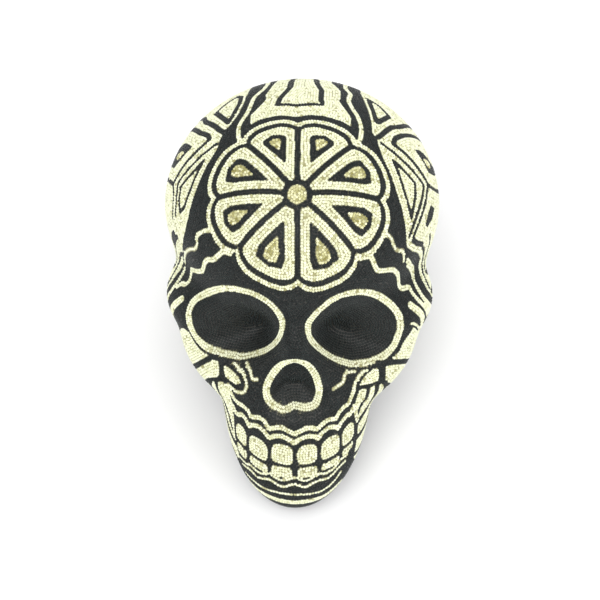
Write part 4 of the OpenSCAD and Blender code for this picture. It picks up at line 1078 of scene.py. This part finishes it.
def skin_points(lift, cols, rows):
    """Points of the skull's surface raised by lift, in rings between two poles."""
    h = np.linspace(-math.pi / 2, math.pi / 2, rows + 1)[1:-1]
    t = np.arange(cols) * 2 * math.pi / cols
    hh, tt = np.meshgrid(h, t, indexing="ij")
    dirs = np.stack([np.sin(tt) * np.cos(hh), np.cos(tt) * np.cos(hh), np.sin(hh)], -1).reshape(-1, 3)
    return place(np.concatenate([dirs, [[0, 0, -1.0]], [[0, 0, 1.0]]]), lift)


def skin_faces(cols, rows):
    """Faces between those rings, and round the two poles."""
    faces = []
    for r in range(rows - 2):
        for c in range(cols):
            a, b = r * cols + c, r * cols + (c + 1) % cols
            faces.append((a, a + cols, b + cols, b))
    last = (rows - 2) * cols
    low, high = last + cols, last + cols + 1
    for c in range(cols):
        e = (c + 1) % cols
        faces += [(low, c, e), (high, last + e, last + c)]
    return faces


def skin(name, node, material, lift, cols, rows):
    """A whole skin of the skull in place of a CAD node. Returns its mesh and points."""
    v = skin_points(lift, cols, rows)
    mesh = bpy.data.meshes.new(name)
    mesh.from_pydata((v * MM).tolist(), [], skin_faces(cols, rows))
    mesh.polygons.foreach_set("use_smooth", np.ones(len(mesh.polygons), bool))
    mesh.update()
    dress(link(name, mesh), material, node)
    return mesh, v


wax, wax_points = skin(
    "wax_bed", "wax_coat", wax_material(), lift=-0.5, cols=440, rows=224
)
# Painted shade mask: 0 under black beads, where the wax takes its near-black tones, 1 elsewhere
unshaded_wax = [float(bead_labels[grid_tree.find(p)[1]] != BLACK) for p in wax_points.tolist()]
wax.attributes.new("unshaded_wax", "FLOAT", "POINT").data.foreach_set("value", unshaded_wax)
skin("cast_body", "core", cast_material(), lift=-4.4, cols=180, rows=90)

# ---- Floor and light ----

FLOOR_SIZE, FLOOR_DROP = 12, 0.0002
AIM = (0, 0, 0.09)
WORLD_STRENGTH = 0.92

floor_material = shader("floor", Roughness=0.9, Base_Color=(0.93, 0.93, 0.93, 1))[0]
bpy.ops.mesh.primitive_plane_add(size=FLOOR_SIZE, location=(0, 0, -FLOOR_DROP))
floor = bpy.context.object
floor.name = "floor"
floor.data.materials.append(floor_material)


def softbox(name, at, size, watts):
    """A square lamp that is aimed at the skull."""
    data = bpy.data.lights.new(name, "AREA")
    data.size = size
    data.energy = watts
    lamp = link(name, data)
    lamp.location = at
    lamp.rotation_euler = (Vector(AIM) - Vector(at)).to_track_quat("-Z", "Y").to_euler()


softbox("key", at=(-0.5, -1.1, 1.9), size=1.6, watts=22)
softbox("fill", at=(1.4, -0.9, 1.1), size=1.4, watts=10)
softbox("rim", at=(0.2, 1.5, 1.3), size=1.2, watts=6)

world = bpy.data.worlds.new("studio")
bpy.context.scene.world = world
world.use_nodes = True
background = world.node_tree.nodes["Background"]
background.inputs["Color"].default_value = (1, 1, 1, 1)
background.inputs["Strength"].default_value = WORLD_STRENGTH
bpy.context.scene.view_settings.view_transform = "Standard"

# ---- Camera: above and in front of the face, a little to its left ----

AZIMUTH, ELEVATION, ROLL = (math.radians(a) for a in (3.118, 53.898, -1.133))
DISTANCE = 0.919
TARGET = Vector((0, 0.00616, 0.11401))
LENS, SENSOR, SHIFT = 99.8076, 36, -0.128

level = math.cos(ELEVATION)
outward = Vector((math.sin(AZIMUTH) * level, -math.cos(AZIMUTH) * level, math.sin(ELEVATION)))
right = Vector((math.cos(AZIMUTH), math.sin(AZIMUTH), 0))
up = outward.cross(right)
right, up = (
    right * math.cos(ROLL) + up * math.sin(ROLL),
    up * math.cos(ROLL) - right * math.sin(ROLL),
)
camera_data = bpy.data.cameras.new("camera")
camera_data.lens = LENS
camera_data.sensor_width = SENSOR
camera_data.shift_y = SHIFT
camera = link("camera", camera_data)
rotation = Matrix((right, up, outward)).transposed().to_4x4()
camera.matrix_world = Matrix.Translation(TARGET + outward * DISTANCE) @ rotation
bpy.context.scene.camera = camera
